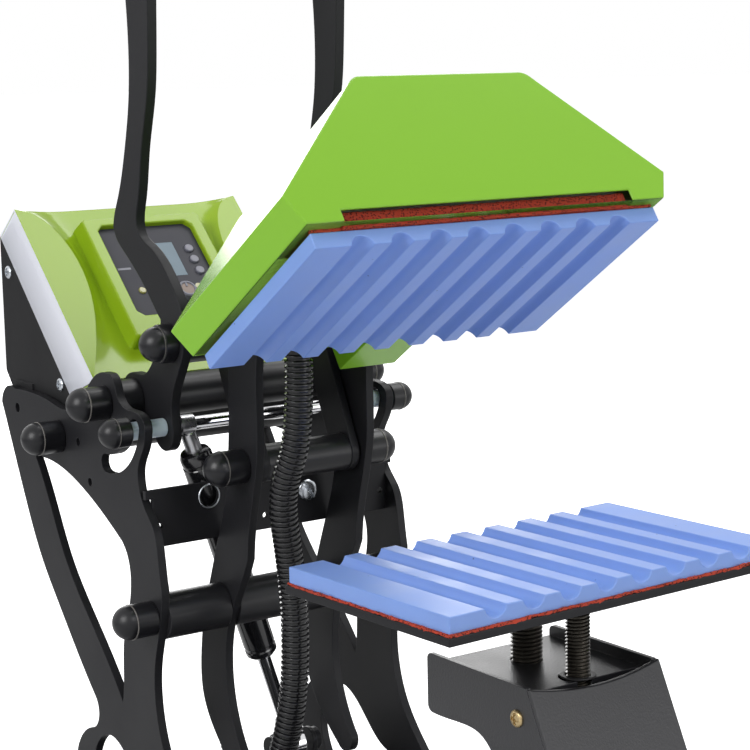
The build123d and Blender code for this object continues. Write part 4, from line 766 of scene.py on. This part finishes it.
turned(bm, in_mm(((4.6, 0), (4.6, 4.2), (5.2, 4.7), (17.5, 4.7), (17.5, 0))), at=spring_top * MM,
       axis=spring_way, steps=32)
turned(bm, in_mm(((-55.7, 4.3), (-55.7, 5.3), (-55.3, 5.7), (-47.1, 5.7), (-46.7, 5.3), (-46.7, 4.3),
                  (-55.7, 4.3))), at=(0, 79.6928 * MM, 286.0087 * MM), steps=40)
piece("spring_stem", bm, ground_steel, "gas_cylinder", smooth=30)
bm = bmesh.new()
turned(bm, in_mm(((151, 0), (151, 4), (209, 4), (209.5, 6.2), (220, 6.2), (221, 5.5), (221, 0))),
       at=spring_top * MM, axis=spring_way, steps=32)
turned(bm, in_mm(((25.7, 0), (25.7, 9.4), (26.3, 10), (34.1, 10), (34.7, 9.4), (34.7, 0))),
       at=(0, 105.1 * MM, 74.0 * MM), steps=40)
piece("spring_rod_chromed", bm, bright_chrome, "gas_rod", ("spring_rod",), smooth=30)
piece("spring_anchor_coated", cut_metal("spring_anchor", 0.5 * MM), powder_black, "frame",
      ("spring_anchor",))

# ---- Control box front -------------------------------------------------------------------------
# One lime moulding, 2.5 mm thick. Each side of the front is scooped from a curved crease
# down to the bezel, and both ends behind the front edge are painted near white as a painted glare highlight on
# the lime.
box_foot = Vector((0, 138.0, 307.0))
box_head = Vector((0, 236.0, 402.0))
front_slope = atan2(box_head.z - box_foot.z, box_head.y - box_foot.y)
front_length = (box_head - box_foot).length
box_axes = Matrix(((1, 0, 0), (0, cos(front_slope), sin(front_slope)),
                   (0, -sin(front_slope), cos(front_slope)))).transposed()
box_place = Matrix.Translation(box_foot * MM) @ box_axes.to_4x4() @ Matrix.Scale(MM, 4)
box_half = 78.0
bezel_half = 41.0
panel_half, panel_low, panel_high, panel_cut = 33.0, 40.5, 113.5, 4.0
crease_widest = 25.7
crease_height = 86.0
scoop_depth = 6.5


def crease_from_edge(s):
    """How far in from the box's side the scoop's crease runs, at a height up the slope."""
    if s < crease_height:
        return crease_widest * sin(pi / 2 * s / crease_height)
    return crease_widest * max(0.0, 1 - ((s - crease_height) / (front_length - crease_height)) ** 2) ** 0.5


def scoop_share(s):
    """How much of the scoop's depth is reached at a height up the slope; it runs out over the top."""
    rise = sin(pi / 2 * min(1.0, (s + 6) / 50))
    return rise * (1 - 0.25 * max(0.0, (s - 60) / (front_length - 60)) ** 2)


def front_sheet(bm, across, up):
    """The scooped front as a grid in slope directions: x across, y up the slope, z out."""
    made = bmesh.ops.create_grid(bm, x_segments=4 * across, y_segments=up, size=1.0)
    for v in made["verts"]:
        s = (v.co.y + 1) / 2 * front_length
        column = (v.co.x + 1) * 2 * across
        side = -1 if column <= 2 * across else 1
        inward = column if side < 0 else 4 * across - column
        crease = box_half - crease_from_edge(s)
        if inward <= across:
            u, h = box_half + (crease - box_half) * inward / across, 0.0
        else:
            share = (inward - across) / across
            u = crease + (0 - crease) * share
            reach = min(1.0, (crease - u) / max(1.0, crease - bezel_half))
            h = -scoop_depth * scoop_share(s) * sin(pi / 2 * reach) ** 0.8
        v.co = (side * u, s, h)


lime_plastic = coated("lime_plastic", (0.27, 0.42, 0.012), (0.40, 0.55, 0.07), 0.18, grain=0.003, depth=0.00001,
                      cloud=0.1, edge=0.0008, colour_spread=0.06, rough_spread=0.06, coat=0.1, coat_rough=0.08,
                      specular=0.3)
# Near-white finish for the box ends: a painted glare highlight in place of lit lime plastic.
painted_glare_ends = coated("painted_glare_ends", (0.82, 0.84, 0.92), (0.86, 0.87, 0.94), 0.35, grain=0.002, depth=0.00001,
                    cloud=0.1, edge=0.0005, colour_spread=0.04)
bm = bmesh.new()
front_sheet(bm, 12, 40)
rim = [e for e in bm.edges if e.is_boundary]
walls = bmesh.ops.extrude_edge_only(bm, edges=rim)
window = [f for f in bm.faces if abs(f.calc_center_median().x) < panel_half and f.calc_center_median().z < 0 and
          panel_low < f.calc_center_median().y < panel_high]
back_foot = box_axes.inverted() @ (Vector((0, 170.4, 294.6)) - box_foot)
back_head = box_axes.inverted() @ (Vector((0, 258.9, 384.3)) - box_foot)
for v in walls["geom"]:
    if isinstance(v, bmesh.types.BMVert):
        share = v.co.y / front_length
        v.co.y = back_foot.y + (back_head.y - back_foot.y) * share
        v.co.z = back_foot.z + (back_head.z - back_foot.z) * share
bmesh.ops.delete(bm, geom=window, context="FACES")
bmesh.ops.recalc_face_normals(bm, faces=bm.faces)
# Faces turned to the sides get the near-white finish, a painted glare highlight.
for face in bm.faces:
    if abs(face.normal.x) > 0.95:
        face.material_index = 1
bmesh.ops.transform(bm, matrix=box_place, verts=bm.verts)
bmesh.ops.recalc_face_normals(bm, faces=bm.faces)
box_front = piece("box_front_moulded", bm, lime_plastic, "frame", ("control_box_shell",), smooth=12)
box_front.data.materials.append(painted_glare_ends)
shell_wall = box_front.modifiers.new("wall", "SOLIDIFY")
shell_wall.thickness = 2.0 * MM
shell_wall.offset = -1.0

# ---- Bezel ---------------------------------------------------------------------------------------
# A raised lime frame with cut corners round the sunken control panel.
bezel_low, bezel_high, bezel_cut = 25.0, 119.5, 1.5
bezel_top, bezel_base, bezel_sink = 5.5, -7.0, 0.0


def cut_rectangle(bm, half, low, high, cut, h):
    """The eight corners of a rectangle with its corners cut off, as a closed loop of edges."""
    corners = ((-half, low + cut), (-half, high - cut), (-half + cut, high), (half - cut, high),
               (half, high - cut), (half, low + cut), (half - cut, low), (-half + cut, low))
    verts = [bm.verts.new((x, y, h)) for x, y in corners]
    return [bm.edges.new((a, b)) for a, b in zip(verts, verts[1:] + verts[:1])]


bm = bmesh.new()
loops = [cut_rectangle(bm, bezel_half + 2.0, bezel_low - 2.0, bezel_high + 2.0, bezel_cut, bezel_base),
         cut_rectangle(bm, bezel_half, bezel_low, bezel_high, bezel_cut, bezel_top),
         cut_rectangle(bm, panel_half, panel_low, panel_high, panel_cut, bezel_top),
         cut_rectangle(bm, panel_half, panel_low, panel_high, panel_cut, bezel_sink)]
for near, far in zip(loops, loops[1:]):
    bmesh.ops.bridge_loops(bm, edges=near + far)
bmesh.ops.bridge_loops(bm, edges=loops[-1] + loops[0])
bmesh.ops.recalc_face_normals(bm, faces=bm.faces)
round_edges(bm, 1.0, 3, 30)
bmesh.ops.transform(bm, matrix=box_place, verts=bm.verts)
piece("bezel", bm, lime_plastic, "frame", smooth=30)

# ---- Panel, display, lamps and buttons ------------------------------------------------------------
# A grey film panel with a pale dash, a display, three round buttons, two amber lamps and
# a small grey knob with a beige centre and a mark.
panel_film = coated("panel_film", (0.045, 0.045, 0.056), (0.08, 0.08, 0.09), 0.42, grain=0.0008, depth=0.00002,
                    cloud=0.03, edge=0.0004, specular=0.12)
display_glass = coated("display_glass", (0.13, 0.19, 0.24), (0.2, 0.27, 0.32), 0.12, grain=0.003, depth=0.000002,
                       cloud=0.02, edge=0.0003, colour_spread=0.3, specular=0.2)
amber_lens = coated("amber_lens", (0.30, 0.28, 0.08), (0.4, 0.4, 0.15), 0.15, grain=0.001, depth=0.000005,
                    edge=0.0003, coat=0.5)
button_grey = coated("button_grey", (0.17, 0.17, 0.21), (0.24, 0.24, 0.28), 0.45, grain=0.0006, depth=0.00002,
                     edge=0.0004)
board_green = coated("board_green", (0.02, 0.13, 0.05), (0.05, 0.2, 0.08), 0.35, grain=0.001, depth=0.00002)
dress(display_glass, "lcd_window")
dress(amber_lens, "indicator_lamps")
dress(board_green, "circuit_board")
dress(knob_plastic, "power_module")
bm = cut_metal("control_panel", 0.3 * MM)
panel_place = box_place.inverted()
dash_at = Vector((-26.0, 80.2, 2.0))
block(bm, dash_at, (9.0, 1.6, 0.16), box_place)
for face in bm.faces:
    reach = panel_place @ face.calc_center_median() - dash_at
    if abs(reach.x) < 4.7 and abs(reach.y) < 1.0 and -0.1 < reach.z < 0.3:
        face.material_index = 1
panel_sheet = piece("panel_film_cut", bm, panel_film, "frame", ("control_panel",))
panel_sheet.data.materials.append(button_grey)
for node in ("up_button", "down_button", "mode_button"):
    piece(f"{node}_cap", cut_metal(node, 0.3 * MM), button_grey, node, (node,))
knob_at = Vector((7.0, 57.0, 0))
bm = bmesh.new()
turned(bm, ((-8.2, 0), (-8.2, 3.0), (2.2, 3.0), (2.2, 6.2), (6.4, 6.2), (7.2, 5.5), (7.2, 4.6), (6.6, 4.3),
            (6.6, 0)), at=knob_at, axis=(0, 0, 1), steps=36)
for face in bm.faces:
    middle = face.calc_center_median()
    if middle.z > 6.5 and (middle.xy - knob_at.xy).length < 4.3:
        face.material_index = 1
block(bm, knob_at + Vector((0, 3.0, 6.8)), (1.2, 3.0, 0.5))
bmesh.ops.transform(bm, matrix=box_place, verts=bm.verts)
dial_beige = coated("dial_beige", (0.20, 0.14, 0.11), (0.25, 0.18, 0.15), 0.4, grain=0.0008, depth=0.00001,
                    edge=0.0002)
dial = piece("set_knob_turned", bm, button_grey, "set_knob", ("set_knob",))
dial.data.materials.append(dial_beige)

# ---- Rear tray, inlet and rocker switch ---------------------------------------------------------------
# Black sheet tray bolted between the side plates, with a mains inlet and a rocker switch.
tray_black = coated("tray_black", (0.008, 0.008, 0.009), (0.03, 0.03, 0.033), 0.55, grain=0.0007, depth=0.00004,
                    edge=0.0005, specular=0.2)
piece("rear_tray_coated", cut_metal("control_box_back", 0.4 * MM), tray_black, "frame",
      ("control_box_back",))
socket_black = coated("socket_black", (0.02, 0.02, 0.022), (0.05, 0.05, 0.05), 0.4, grain=0.0008, depth=0.00003,
                      edge=0.0004)
for node, body in (("power_inlet", "frame"), ("rocker_housing", "frame"), ("rocker_switch", "rocker")):
    piece(f"{node}_moulded", cut_metal(node, 0.4 * MM), socket_black, body, (node,))

# ---- Hand grip, base tray and feet ---------------------------------------------------------------------------
# A ribbed rubber sleeve on the handle bar, a folded steel tray under the frame and four
# rubber feet.
grip_rubber = coated("grip_rubber", (0.018, 0.018, 0.019), (0.04, 0.04, 0.04), 0.75, grain=0.0008, depth=0.00006,
                     edge=0.0006)
grip_ribs, grip_rib_pitch, grip_first_rib = 18, 4.9, -44.0
grip_profile = [(-50.0, 11.0), (-50.0, 14.0), (-49.0, 15.6), (-47.0, 16.0)]
for ring in range(grip_ribs):
    start = grip_first_rib + ring * grip_rib_pitch
    grip_profile += [(start, 16.0), (start + 0.6, 15.2), (start + 1.4, 15.2), (start + 2.0, 16.0)]
grip_profile += [(47.0, 16.0), (49.0, 15.6), (50.0, 14.0), (50.0, 11.0), (-50.0, 11.0)]
bm = bmesh.new()
turned(bm, in_mm(grip_profile), at=(0, 93.5 * MM, 552.0 * MM), steps=40)
piece("grip_sleeve", bm, grip_rubber, "handle", ("hand_grip",), smooth=40)
piece("base_tray_coated", cut_metal("base_tray", 0.6 * MM), powder_black, "frame",
      ("base_tray",))
piece("feet_moulded", cut_metal("rubber_feet", 1.0 * MM, 3), grip_rubber, "frame", ("rubber_feet",))

# ---- Finish ---------------------------------------------------------------------------------------
for lone in [n for n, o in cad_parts.items() if not o.data.materials]:
    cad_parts[lone].data.materials.append(powder_black)
bpy.context.scene.view_settings.view_transform = "Standard"
